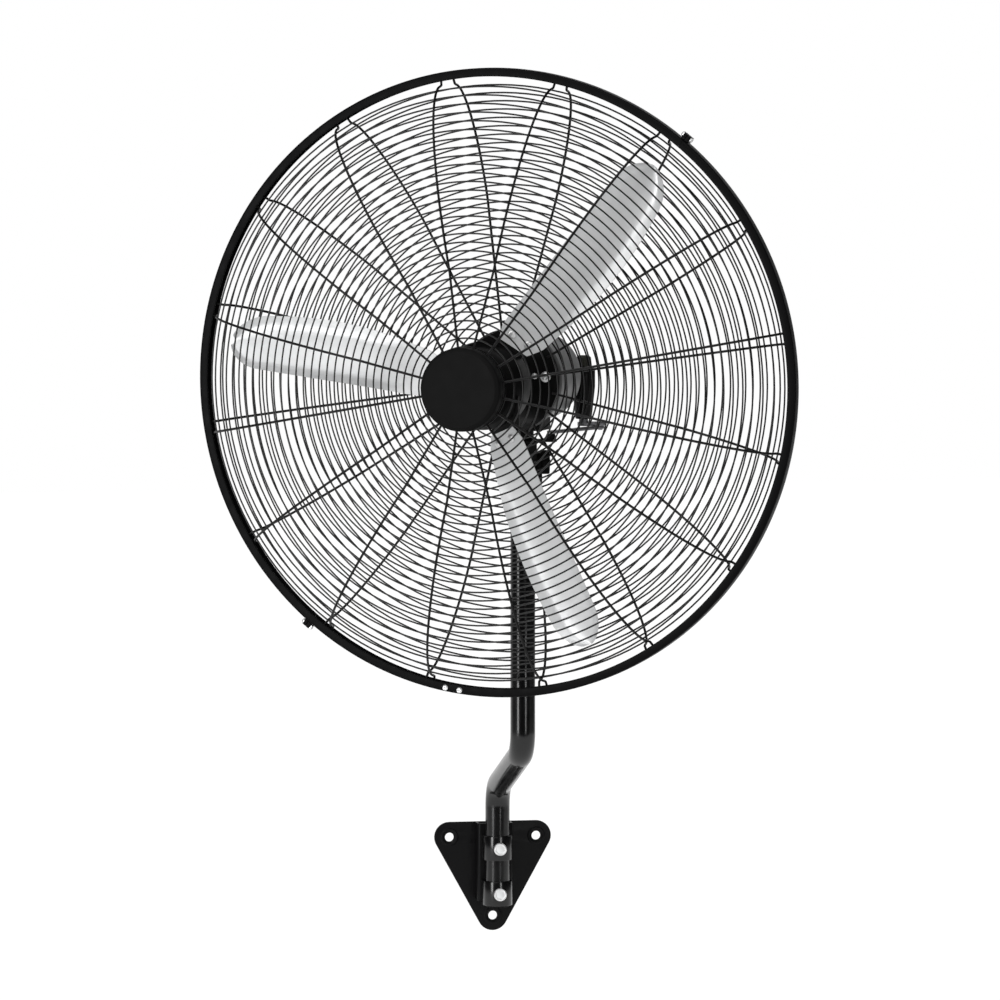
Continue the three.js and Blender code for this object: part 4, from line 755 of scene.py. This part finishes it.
# Each top or bottom is how far it lies below the fan axis.
CRANK = 5  # thickness
LINK = 4
FLANGE = 3.5
SADDLE_BOTTOM = 66
BOSS_BOTTOM = 78
FLANGE_TOP = BOSS_BOTTOM + GAP
CRANK_TOP = SADDLE_BOTTOM - 5 + 1.3
LINK_TOP = CRANK_TOP + CRANK + GAP
ANCHOR_TOP = LINK_TOP + LINK + GAP
ANCHOR_ARM = 36
ANCHOR_WAY = math.radians(-5)
ANCHOR = (ANCHOR_ARM * math.cos(ANCHOR_WAY), ANCHOR_ARM * math.sin(ANCHOR_WAY))

block_top = TILT_DROP - FLANGE_TOP - FLANGE / 2
block_side = [(BLOCK_ROUND, block_top), (-BLOCK_ROUND, block_top)]
block_side += [(BLOCK_ROUND * math.cos(a), BLOCK_ROUND * math.sin(a))
               for a in [math.pi + math.pi * k / 24 for k in range(25)]]
flange_bottom = -FLANGE_TOP - FLANGE
block_parts = [
    (outline_curve([block_side, circle(0, 0, TILT_BORE, 32)[::-1]], 32, 1.0),
     shift(0, 0, -TILT_DROP) @ SIDEWAYS),
    (turned([(7.3, flange_bottom), (20, flange_bottom, 1), (20, -FLANGE_TOP, 1), (7.3, -FLANGE_TOP),
             (7.3, flange_bottom)], 64), UPRIGHT),
    (outline_curve([around([(0, 0), ANCHOR], 8)], FLANGE, 0.6), shift(0, 0, -FLANGE_TOP - FLANGE / 2)),
    (turned([(0, -FLANGE_TOP - 1.7), (6, -FLANGE_TOP - 1.7), (6, -ANCHOR_TOP, 0.8), (0, -ANCHOR_TOP)], 40),
     shift(ANCHOR[0], ANCHOR[1], 0) @ UPRIGHT),
]
fitted("tilt_casting", together(*block_parts), TILT, cast_paint, "tilt_head", ["tilt_block"])

# ---------- motor ----------

HOUSING_FRONT = 55.3
HOUSING = 66  # radius
SHELL = 58  # radius
SHELL_BORE = 54  # radius
SHELL_FRONT = 72
SHELL_REAR = 196
screw_circle = [math.radians(7 + 90 * k) for k in range(4)]

housing_shape = turned([
    (10, HOUSING_FRONT - 6), (16, HOUSING_FRONT - 6, 1.5), (24, HOUSING_FRONT, 3),
    (HOUSING, HOUSING_FRONT, 3.5), (HOUSING, SHELL_FRONT - GAP, 1.2), (SHELL_BORE, SHELL_FRONT - GAP),
    (SHELL_BORE, 60.3), (10, 60.3), (10, HOUSING_FRONT - 6)], 96)
fitted("motor_front_casting", housing_shape, RING, cast_paint, "motor_head",
       ["motor_front_housing"])

shell_shape = turned([
    (SHELL_BORE, SHELL_FRONT), (SHELL, SHELL_FRONT, 0.8), (SHELL, SHELL_FRONT + 5, 0.4),
    (SHELL - 0.8, SHELL_FRONT + 6, 0.4), (SHELL - 0.8, SHELL_REAR - 22, 14), (SHELL - 15, SHELL_REAR - 3, 8),
    (SHELL - 26, SHELL_REAR, 4), (0, SHELL_REAR), (0, SHELL_REAR - 6), (SHELL_BORE - 14, SHELL_REAR - 7),
    (SHELL_BORE, SHELL_REAR - 22), (SHELL_BORE, SHELL_FRONT)], 96, steps=8)
fitted("motor_bell", shell_shape, RING, shell_paint, "motor_head", ["motor_shell"])

saddle = softened(from_node("pivot_saddle"), 0.0012, 40)
fitted("pivot_saddle_casting", saddle, Matrix(), cast_paint, "motor_head", ["pivot_saddle"])
saddle_seat = -SADDLE_BOTTOM + 4.5 - GAP
saddle_screw_spots = [((x, 0, saddle_seat), (0, 0, 1)) for x in (-22, 22)]
set_of("saddle_screws", pan_head(3, 5.5, 3.5, 10), saddle_screw_spots, HEAD, zinc, "motor_head",
       ["saddle_screw_1", "saddle_screw_2"])

# ---------- oscillation gear ----------

CASE_DEPTH = 42
OUTPUT_REAR = SHELL_REAR + 20
OUTPUT = (46, OUTPUT_REAR - AXIS_TO_RING)  # the output shaft from the swing axis
CRANK_PIN = (64.231, 122.129)

case_line = around([(-18, -10), (34, -10), (34, -8), (4, 10), (-18, 10)], 12, 8)
case_shape = outline_curve([case_line], CASE_DEPTH, 2.5)
boss_shape = turned([(0, -58), (10.5, -58, 1.2), (15, -16, 3), (15, 8, 1.8), (0, 8)], 64, steps=4)
gear_parts = [
    (case_shape, shift(0, SHELL_REAR + GAP + CASE_DEPTH / 2, 0) @ UPRIGHT),
    (boss_shape, shift(OUTPUT[0], OUTPUT_REAR, 0) @ UPRIGHT),
]
fitted("gear_case", together(*gear_parts), RING, cast_paint, "motor_head", ["gearbox_housing"])

gland_shape = together(
    (outline_curve([circle(0, 0, 9, 6)], 5, 0.6), shift(0, -24.8, 0) @ UPRIGHT),
    turned([(4, -27.3), (7.8, -27.3), (7.3, -34, 1), (5.6, -40.3, 1.5), (4, -40.3, 0.5), (4, -27.3)], 40,
           steps=4))
fitted("cable_bush", gland_shape, RING @ shift(-15, SHELL_REAR + CASE_DEPTH / 2, 0) @ UPRIGHT, moulded,
       "motor_head", ["cable_gland"])


def knob_shape():
    """The pull knob with its stem, and grooves down its side."""
    seat = 8.3
    stem_end = seat - 14
    grooves = 24
    bm = turned([(0, stem_end), (5, stem_end), (5, seat), (9, seat, 0.8), (10.8, seat + 2, 1),
                 (9.6, seat + 13, 1.5), (7, seat + 15.8, 2), (3, seat + 16), (0, seat + 15.8)], 96, steps=4)
    for vert in bm.verts:
        x, y, z = vert.co
        if math.hypot(x, z) > 8.9 and y > seat + 1 and math.cos(grooves * math.atan2(z, x)) > 0:
            vert.co.x *= 0.97
            vert.co.z *= 0.97
    return bm


fitted("clutch_pull_knob", knob_shape(), HEAD @ shift(OUTPUT[0], OUTPUT[1], 0) @ UPRIGHT, knob_plastic,
       "knob", ["clutch_knob"], 40)

crank_middle = -CRANK_TOP - CRANK / 2
crank_parts = [
    (outline_curve([around([OUTPUT, CRANK_PIN], 8)], CRANK, 0.7), shift(0, 0, crank_middle)),
    (turned([(0, crank_middle), (6, crank_middle), (6, -22.3), (0, -22.3)], 40),
     shift(OUTPUT[0], OUTPUT[1], 0) @ UPRIGHT),
    (turned([(0, -LINK_TOP - 5.5), (2.5, -LINK_TOP - 5.5), (3, -LINK_TOP - 5), (3, crank_middle),
             (0, crank_middle)], 32), shift(CRANK_PIN[0], CRANK_PIN[1], 0) @ UPRIGHT),
]
fitted("crank_lever", together(*crank_parts), HEAD, dulled_zinc, "crank", ["crank_arm"])

link_way = ANCHOR_WAY + REST_YAW
link_end = (ANCHOR_ARM * math.cos(link_way), ANCHOR_ARM * math.sin(link_way))
link_line = around([CRANK_PIN, link_end], 5)
link_shape = outline_curve([link_line, circle(CRANK_PIN[0], CRANK_PIN[1], 3.3, 32)[::-1]], LINK, 0.5)
fitted("drive_link_bar", link_shape, HEAD @ shift(0, 0, -LINK_TOP - LINK / 2), dulled_zinc, "link",
       ["drive_link"])

# ---------- guards ----------

RIM = 400  # outer radius of the hoop
HALF_WIDTH = 8.25  # of the hoop
HOOP_FLANGE = 11.5
LUG = math.radians(51)  # where the hoop is split
FRONT_DEPTH = 116.0  # from the hoop's middle to the guard's front
CAGE_WIRE = 1.7  # radius of the solids' guard wires
GUARD_SEAT = 52.7  # where the guard screws' heads rest
SCREW_RING = 50

shared = {
    "Shoulder radius": 382.0, "Shoulder depth": HALF_WIDTH, "Rim radius": 394.9, "Rim offset": 3.15,
    "Spoke count": 16, "Ring wire": 1.1, "Spoke wire": 1.6, "Rim wire": 3.0, "Lap": 0.35,
    "Ring pitch": 10.85, "Material": wire_coat,
}
front_sizes = {**shared, "Side": -1.0, "Inner radius": 46.0, "First ring": 53.0, "Ring count": 31,
               "Centre depth": FRONT_DEPTH, "Turn depth": 96.6, "Turn radius": 150.0,
               "Spoke angle": math.radians(10.5)}
rear_sizes = {**shared, "Side": 1.0, "Inner radius": 60.0, "First ring": 76.0, "Ring count": 29,
              "Centre depth": 53.0, "Turn depth": 70.0, "Turn radius": 235.0, "Spoke angle": math.radians(8.5)}


def wires(sizes):
    """One half of the cage from the guard tree."""
    return guards.grow(bpy.data.meshes.new("start"), sizes)


def ring_spots(radius, depth, angles):
    """Spots on a circle about the fan axis, facing the back."""
    return [((radius * math.cos(a), depth, radius * math.sin(a)), (0, 1, 0)) for a in angles]


front_mesh = wires(front_sizes)
front_mesh.transform(RING)
finished("front_wire_guard", front_mesh, wire_coat, "motor_head", ["front_guard"], 60)

screw_holes = [circle(SCREW_RING * math.cos(a), SCREW_RING * math.sin(a), 3.3, 24)[::-1] for a in screw_circle]
rear_plate = outline_curve([circle(0, 0, 66, 128), circle(0, 0, 30, 96)[::-1]] + screw_holes, 2, 0.4)
rear_wires = bmesh.new()
rear_wires.from_mesh(wires(rear_sizes))
rear_all = together(rear_wires, (rear_plate, shift(0, 54, 0) @ UPRIGHT))
fitted("rear_wire_guard", rear_all, RING, wire_coat, "motor_head", ["rear_guard"], 45)

seat_screw_spots = ring_spots(35.5, GUARD_SEAT, [angle + math.radians(4) for angle in screw_circle])
set_of("guard_seat_screws", pan_head(1.8, 3.9, 2.6, 5), seat_screw_spots, RING, zinc, "motor_head",
       [])
set_of("guard_screws", pan_head(3, 7, 4, 6), ring_spots(SCREW_RING, GUARD_SEAT, screw_circle), RING, zinc,
       "motor_head", [f"guard_screw_{k}" for k in (1, 2, 3, 4)])


def hoop_half(flip):
    """Half of the clamping hoop with a lug at each end."""
    sheet = 1.8
    lip = RIM - HOOP_FLANGE
    outer = RIM - 0.6
    section = [(lip, -HALF_WIDTH, 0.8), (outer, -HALF_WIDTH, 2.4), (outer, HALF_WIDTH, 2.4),
               (lip, HALF_WIDTH, 0.8),
               (lip, HALF_WIDTH - sheet, 0.8), (outer - sheet, HALF_WIDTH - sheet, 0.8),
               (outer - sheet, -HALF_WIDTH + sheet, 0.8), (lip, -HALF_WIDTH + sheet, 0.8)]
    gap = 0.15 / RIM
    parts = [turned(section, 128, start=gap, sweep=math.pi - 2 * gap, steps=4)]
    for end in (1, -1):
        ear = outline_curve([around([(-3.0, -4.0), (3.0, -4.0), (3.0, 4.0), (-3.0, 4.0)], 1.2, 4)], 4.8, 0.5)
        parts.append((ear, shift(end * (RIM + 3.4), 0, 2.6)))
    flip_turn = Matrix.Rotation(math.pi, 4, "Y") if flip else Matrix()
    return together(*parts), RING @ turn(LUG) @ flip_turn


for word, flip in (("upper", False), ("lower", True)):
    half, place = hoop_half(flip)
    fitted(f"clamping_hoop_{word}", half, place, hoop_coat, "motor_head",
           [f"rim_band_{word}"])

lug_bolt = together(
    (pan_head(2, 3.7, 3, 10.5), shift(0, -5.3, 0)),
    (hexagon(3.9, 2.0, 5.3, 8.2), Matrix()))
lug_spots = []
for end in (1, -1):
    at = turn(LUG) @ Vector((end * (RIM + 4.6), 0, 0))
    lug_spots.append((tuple(at), tuple(turn(LUG) @ Vector((0, 0, -1)))))
set_of("hoop_lug_bolts", lug_bolt, lug_spots, RING, zinc, "motor_head",
       ["band_bolt_right", "band_bolt_left"])

hoop_screw_spots = ring_spots(RIM - HOOP_FLANGE / 2, -HALF_WIDTH - GAP,
                              (math.radians(-99.4), math.radians(-96.6)))
set_of("hoop_face_screws", pan_head(1.6, 3.8, 2.4, 1.8), hoop_screw_spots, RING, zinc, "motor_head",
       ["band_screw_1", "band_screw_2"])

CAP_BACK = -FRONT_DEPTH - CAGE_WIRE - GAP
cap_shape = turned([
    (0, CAP_BACK - 20.6), (30, CAP_BACK - 20.7), (44.5, CAP_BACK - 20.9), (47.5, CAP_BACK - 21.2, 2),
    (52.4, CAP_BACK - 17, 4.2), (53, CAP_BACK - 6, 0.5), (52, CAP_BACK - 5.4, 0.4), (52, CAP_BACK - 4.2, 0.4),
    (53, CAP_BACK - 3.6, 0.5), (53, CAP_BACK, 0.8), (0, CAP_BACK)], 128, steps=6)
fitted("hub_cap_moulding", cap_shape, RING, moulded, "motor_head", ["front_cap"], 40)

PLATE_FRONT = -FRONT_DEPTH + CAGE_WIRE + 2.6 + GAP
CLAMP_PLATE = 3
boss_front = -FRONT_DEPTH - CAGE_WIRE
plate_turned = turned([(0, boss_front), (32, boss_front), (32, PLATE_FRONT + 0.8, 1), (50, PLATE_FRONT, 1),
                       (50, PLATE_FRONT + CLAMP_PLATE, 1), (0, PLATE_FRONT + CLAMP_PLATE)], 96)
fitted("cap_clamp_plate", plate_turned, RING, powder_coat, "motor_head",
       ["cap_backing_plate"])
cap_screw_spots = [((x, PLATE_FRONT + CLAMP_PLATE + GAP, 0), (0, -1, 0)) for x in (24, -24)]
set_of("cap_screws", pan_head(2.5, 4.5, 3, 14), cap_screw_spots, RING, zinc, "motor_head",
       ["cap_screw_1", "cap_screw_2"])

# ---------- rotor ----------

ROOT = 62  # radius at which a blade starts
TIP = 352  # radius at which it ends
CHORD = 78
SHEET = 2
PITCH = (27, 13)  # degrees at the root and at the tip
DEPTH = (42, 20)  # in front of the hoop's middle, at the root and at the tip
ROUNDING = 0.86  # share of the span at which the round tip starts
PLAIN_ROOT = 0.1  # share of the span that stays flat
ROOT_PITCH = math.radians(PITCH[0])


def blade_point(s, u, drop=0.0, crease=True):
    """The front skin of a blade: s along the radius, u across the chord from -0.5 to 0.5."""
    radius = ROOT + (TIP - ROOT) * s
    swell = 0.62 + 0.38 * math.sin(math.pi * min(1, 0.1 + s * 0.75))
    taper = math.sqrt(max(0.0, 1 - ((s - ROUNDING) / 0.143) ** 2)) if s > ROUNDING else 1
    root = math.sqrt(0.55 + 0.45 * (max(s, 0) / 0.06)) if s < 0.06 else 1
    chord = CHORD * swell * max(taper, 0.02) * root
    pitch = math.radians(PITCH[0] + (PITCH[1] - PITCH[0]) * s)
    sweep = -8 * math.sin(math.pi * s)
    depth = DEPTH[0] + (DEPTH[1] - DEPTH[0]) * s * (1.6 - 0.6 * s)
    across = u * chord
    bulge = 6 * (1 - 4 * u * u) * min(1, max(0, s - PLAIN_ROOT) * 5)
    lip = -max(0.0, abs(u) - 0.33) * 19 * min(1, max(0, s - 0.12) * 5) if crease else 0.0
    return Vector((radius, -depth - across * math.sin(pitch) + (bulge + lip) * math.cos(pitch) + drop,
                   sweep + across * math.cos(pitch) + (bulge + lip) * math.sin(pitch)))


def skin(point_at, rows, columns, thickness):
    """A thin closed sheet with a UV map along and across it."""
    bm = bmesh.new()
    uv = bm.loops.layers.uv.new("UVMap")
    layers = []
    spots = {}
    for offset in (0.0, thickness):
        grid = [[bm.verts.new(point_at(i, j) + Vector((0, offset, 0))) for j in range(columns + 1)]
                for i in range(rows + 1)]
        for i, line in enumerate(grid):
            for j, vert in enumerate(line):
                spots[vert] = (i / rows, j / columns)
        layers.append(grid)

    def face(*verts):
        made = bm.faces.new(verts)
        for loop in made.loops:
            loop[uv].uv = spots[loop.vert]

    front, back = layers
    for i in range(rows):
        for j in range(columns):
            face(front[i][j], front[i][j + 1], front[i + 1][j + 1], front[i + 1][j])
            face(back[i][j], back[i + 1][j], back[i + 1][j + 1], back[i][j + 1])
    for j in range(columns):
        face(front[0][j + 1], front[0][j], back[0][j], back[0][j + 1])
        face(front[rows][j], front[rows][j + 1], back[rows][j + 1], back[rows][j])
    for i in range(rows):
        face(front[i][0], front[i + 1][0], back[i + 1][0], back[i][0])
        face(front[i + 1][columns], front[i][columns], back[i][columns], back[i + 1][columns])
    bmesh.ops.recalc_face_normals(bm, faces=bm.faces)
    return bm


def blade_rows():
    """Shares of the span at which the blade has rows, closer together at its ends."""
    inner = [PLAIN_ROOT * k / 8 for k in range(8)]
    middle = [PLAIN_ROOT + (ROUNDING - PLAIN_ROOT) * k / 32 for k in range(32)]
    tip = [ROUNDING + (1 - ROUNDING) * math.sin(math.pi / 2 * k / 16) for k in range(17)]
    return inner + middle + tip


STATIONS = blade_rows()
COLUMNS = 20
blade_angles = [math.radians(52 + 120 * k) for k in range(3)]
for k, angle in enumerate(blade_angles):
    sheet = skin(lambda i, j: blade_point(STATIONS[i], j / COLUMNS - 0.5), len(STATIONS) - 1, COLUMNS,
                 SHEET)
    fitted(f"pressed_blade_{k + 1}", sheet, RING @ turn(angle), blade_metal, "rotor",
           [f"blade_{k + 1}"], 45)


ARM = 4  # thickness of the hub's arms


def rivet_shape():
    """A rivet along +Y through a blade and an arm, with a domed head at each end."""
    head = 5.5
    grip = SHEET + ARM + 2 * GAP
    quarter = [math.pi / 2 * k / 6 for k in range(7)]
    front = [(head * math.sin(a), -2 * GAP - 2.4 * math.cos(a)) for a in quarter]
    back = [(head * math.cos(a), grip + 2 * math.sin(a)) for a in quarter]
    return turned(front + [(3, -2 * GAP), (3, grip)] + back, 32)


rivet_spots = []
for angle in blade_angles:
    for across in (0.22, -0.22):
        seat = blade_point(0.045, across)
        way = Vector((0, math.cos(ROOT_PITCH), math.sin(ROOT_PITCH)))
        rivet_spots.append((tuple(turn(angle) @ seat), tuple(turn(angle) @ way)))
set_of("blade_rivets", rivet_shape(), rivet_spots, RING, zinc, "rotor",
       [f"blade_rivet_{k}{side}" for k in (1, 2, 3) for side in "ab"])

HUB = 56  # radius
HUB_FRONT = -66
HUB_BACK = -24
SHAFT = 8  # radius
hub_bore = SHAFT + GAP
cup = turned([
    (hub_bore, HUB_FRONT), (38, HUB_FRONT, 6), (HUB - 7, -64.5, 8), (HUB, -52, 6), (HUB, HUB_BACK, 1.2),
    (HUB - 5, HUB_BACK, 1.2), (HUB - 5, -57, 4), (20, -57, 3), (20, HUB_BACK, 1), (hub_bore, HUB_BACK),
    (hub_bore, HUB_FRONT)], 96, steps=6)
arm_start = (HUB - 2 - ROOT) / (TIP - ROOT)
arm_end = (86 - ROOT) / (TIP - ROOT)
hub_parts = [cup]
for angle in blade_angles:
    def arm_point(i, j):
        t = i / 10
        rounding = math.sqrt(max(0.1, 1 - max(0, (t - 0.8) / 0.2) ** 2 * 0.9))
        s = arm_start + (arm_end - arm_start) * t
        at = blade_point(s, (j / 12 - 0.5) * (0.84 - 0.2 * t) * rounding, SHEET + GAP, False)
        lead = max(0, j / 6 - 1) * (1 - t)
        return at + Vector((-24 * lead, -32 * lead * math.sin(ROOT_PITCH), 32 * lead * math.cos(ROOT_PITCH)))
    hub_parts.append((softened(skin(arm_point, 10, 12, ARM), 0.8, 50), turn(angle)))
fitted("blade_carrier", together(*hub_parts), RING, cast_paint, "rotor", ["blade_hub"])

nut_back = HUB_FRONT - GAP
fitted("hub_lock_nut", hexagon(13, 8.1, nut_back - 9, nut_back), RING, zinc, "rotor", ["hub_nut"])
shaft_front = -77
shaft_rear = SHELL_REAR - 6 - GAP
shaft_shape = turned([(0, shaft_front), (7.2, shaft_front), (SHAFT, shaft_front + 0.8), (SHAFT, shaft_rear),
                      (0, shaft_rear)], 48)
fitted("motor_spindle", shaft_shape, RING, ground_steel, "rotor", ["motor_shaft"])

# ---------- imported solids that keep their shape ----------

kept_solids = {"pivot_pin": ground_steel, "motor_stator": core_steel, "front_bearing": ground_steel,
               "rear_bearing": ground_steel, "rotor_core": core_steel}
for node, material in kept_solids.items():
    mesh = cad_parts[node].data
    mesh.materials.clear()
    mesh.materials.append(material)

# ---------- floor, light and camera ----------


def background_rays(nodes, links):
    """1 for rays of the camera, of glossy reflections and through clear pieces."""
    seen = nodes.new("ShaderNodeLightPath")
    found = seen.outputs["Is Camera Ray"]
    for kind in ("Is Glossy Ray", "Is Transmission Ray"):
        either = nodes.new("ShaderNodeMath")
        either.operation = "MAXIMUM"
        links.new(found, either.inputs[0])
        links.new(seen.outputs[kind], either.inputs[1])
        found = either.outputs[0]
    return found


def pale_ground():
    """A pale floor: white to the background rays, with the shadows laid over it."""
    made = bpy.data.materials.new("pale floor")
    made.use_nodes = True
    nodes = made.node_tree.nodes
    links = made.node_tree.links
    plain = nodes["Principled BSDF"]
    plain.inputs["Base Color"].default_value = (0.8, 0.8, 0.8, 1)
    plain.inputs["Roughness"].default_value = 0.9
    shade = nodes.new("ShaderNodeBsdfDiffuse")
    shade.inputs["Color"].default_value = (0.34, 0.34, 0.34, 1)
    glow = nodes.new("ShaderNodeEmission")
    glow.inputs["Color"].default_value = (1, 1, 1, 1)
    glow.inputs["Strength"].default_value = 0.74
    white = nodes.new("ShaderNodeAddShader")
    links.new(shade.outputs[0], white.inputs[0])
    links.new(glow.outputs[0], white.inputs[1])
    mix = nodes.new("ShaderNodeMixShader")
    links.new(background_rays(nodes, links), mix.inputs[0])
    links.new(plain.outputs[0], mix.inputs[1])
    links.new(white.outputs[0], mix.inputs[2])
    links.new(mix.outputs[0], nodes["Material Output"].inputs["Surface"])
    return made


def floor():
    """A floor of 10 by 15 metres below the fan, most of it behind."""
    bm = bmesh.new()
    bmesh.ops.create_grid(bm, x_segments=8, y_segments=8, size=1)
    bm.transform(Matrix.Diagonal((5, 7.5, 1, 1)))
    mesh = bpy.data.meshes.new("floor")
    bm.to_mesh(mesh)
    bm.free()
    mesh.materials.append(pale_ground())
    ground = bpy.data.objects.new("floor", mesh)
    ground.location = (0, 5, -0.5)
    bpy.context.scene.collection.objects.link(ground)


def sky():
    """A white room, whose unlit end in front of the fan shows only in gloss."""
    world = bpy.data.worlds.new("studio")
    bpy.context.scene.world = world
    world.use_nodes = True
    nodes = world.node_tree.nodes
    links = world.node_tree.links
    nodes.clear()
    out = nodes.new("ShaderNodeOutputWorld")
    way = nodes.new("ShaderNodeTexCoord")
    split = nodes.new("ShaderNodeSeparateXYZ")
    links.new(way.outputs["Generated"], split.inputs[0])
    depth = nodes.new("ShaderNodeMapRange")
    links.new(split.outputs["Y"], depth.inputs["Value"])
    for key, value in (("From Min", 0.45), ("From Max", 0.9), ("To Min", 0.02), ("To Max", 1.0)):
        depth.inputs[key].default_value = value
    seen = nodes.new("ShaderNodeLightPath")
    level = nodes.new("ShaderNodeMix")
    links.new(seen.outputs["Is Glossy Ray"], level.inputs["Factor"])
    level.inputs[2].default_value = 1.0
    links.new(depth.outputs["Result"], level.inputs[3])
    paper = nodes.new("ShaderNodeBackground")
    paper.inputs["Color"].default_value = (1, 1, 1, 1)
    links.new(level.outputs[0], paper.inputs["Strength"])
    plain = nodes.new("ShaderNodeBackground")
    plain.inputs["Color"].default_value = (1, 1, 1, 1)
    plain.inputs["Strength"].default_value = 0.42
    mix = nodes.new("ShaderNodeMixShader")
    links.new(background_rays(nodes, links), mix.inputs[0])
    links.new(plain.outputs[0], mix.inputs[1])
    links.new(paper.outputs[0], mix.inputs[2])
    links.new(mix.outputs[0], out.inputs["Surface"])


def lamp(name, place, target, width, height, power):
    """A softbox in metres and watts that faces a point."""
    light = bpy.data.lights.new(name, "AREA")
    light.shape = "RECTANGLE"
    light.size = width
    light.size_y = height
    light.energy = power
    holder = bpy.data.objects.new(name, light)
    holder.location = place
    holder.rotation_euler = (Vector(target) - Vector(place)).to_track_quat("-Z", "Y").to_euler()
    bpy.context.scene.collection.objects.link(holder)


def skylight(way, strength):
    """A broad even light from above, the same over the whole floor."""
    light = bpy.data.lights.new("skylight", "SUN")
    light.energy = strength
    light.angle = math.radians(60)
    holder = bpy.data.objects.new("skylight", light)
    holder.rotation_euler = (-Vector(way)).to_track_quat("-Z", "Y").to_euler()
    bpy.context.scene.collection.objects.link(holder)


def camera():
    """The photograph's view: a long lens, a little to the left of the fan and above it."""
    azimuth = math.radians(-9.9)
    elevation = math.radians(4.65)
    distance = 9.0
    away = Vector((math.sin(azimuth) * math.cos(elevation), -math.cos(azimuth) * math.cos(elevation),
                   math.sin(elevation)))
    ring_centre = RING @ Vector((0, 0, 0))
    to_middle_of_picture = Vector((0.0061, 0, -0.1484))
    target = ring_centre + to_middle_of_picture
    eye = bpy.data.cameras.new("camera")
    eye.lens = 255.3
    eye.sensor_width = 36
    eye.clip_end = 200
    holder = bpy.data.objects.new("camera", eye)
    holder.location = target + away * distance
    holder.rotation_euler = (-away).to_track_quat("-Z", "Y").to_euler()
    bpy.context.scene.collection.objects.link(holder)
    bpy.context.scene.camera = holder


floor()
sky()
FAN_MIDDLE = (0, -0.2, 0.3)
lamp("left softbox", (-3.2, -2.5, 0.45), FAN_MIDDLE, width=0.9, height=1.6, power=50)
lamp("right softbox", (1.2, -3.9, 0.5), FAN_MIDDLE, width=0.4, height=1.6, power=22)
skylight((-0.42, -0.62, 0.75), strength=2.1)
camera()
bpy.context.scene.view_settings.view_transform = "Standard"
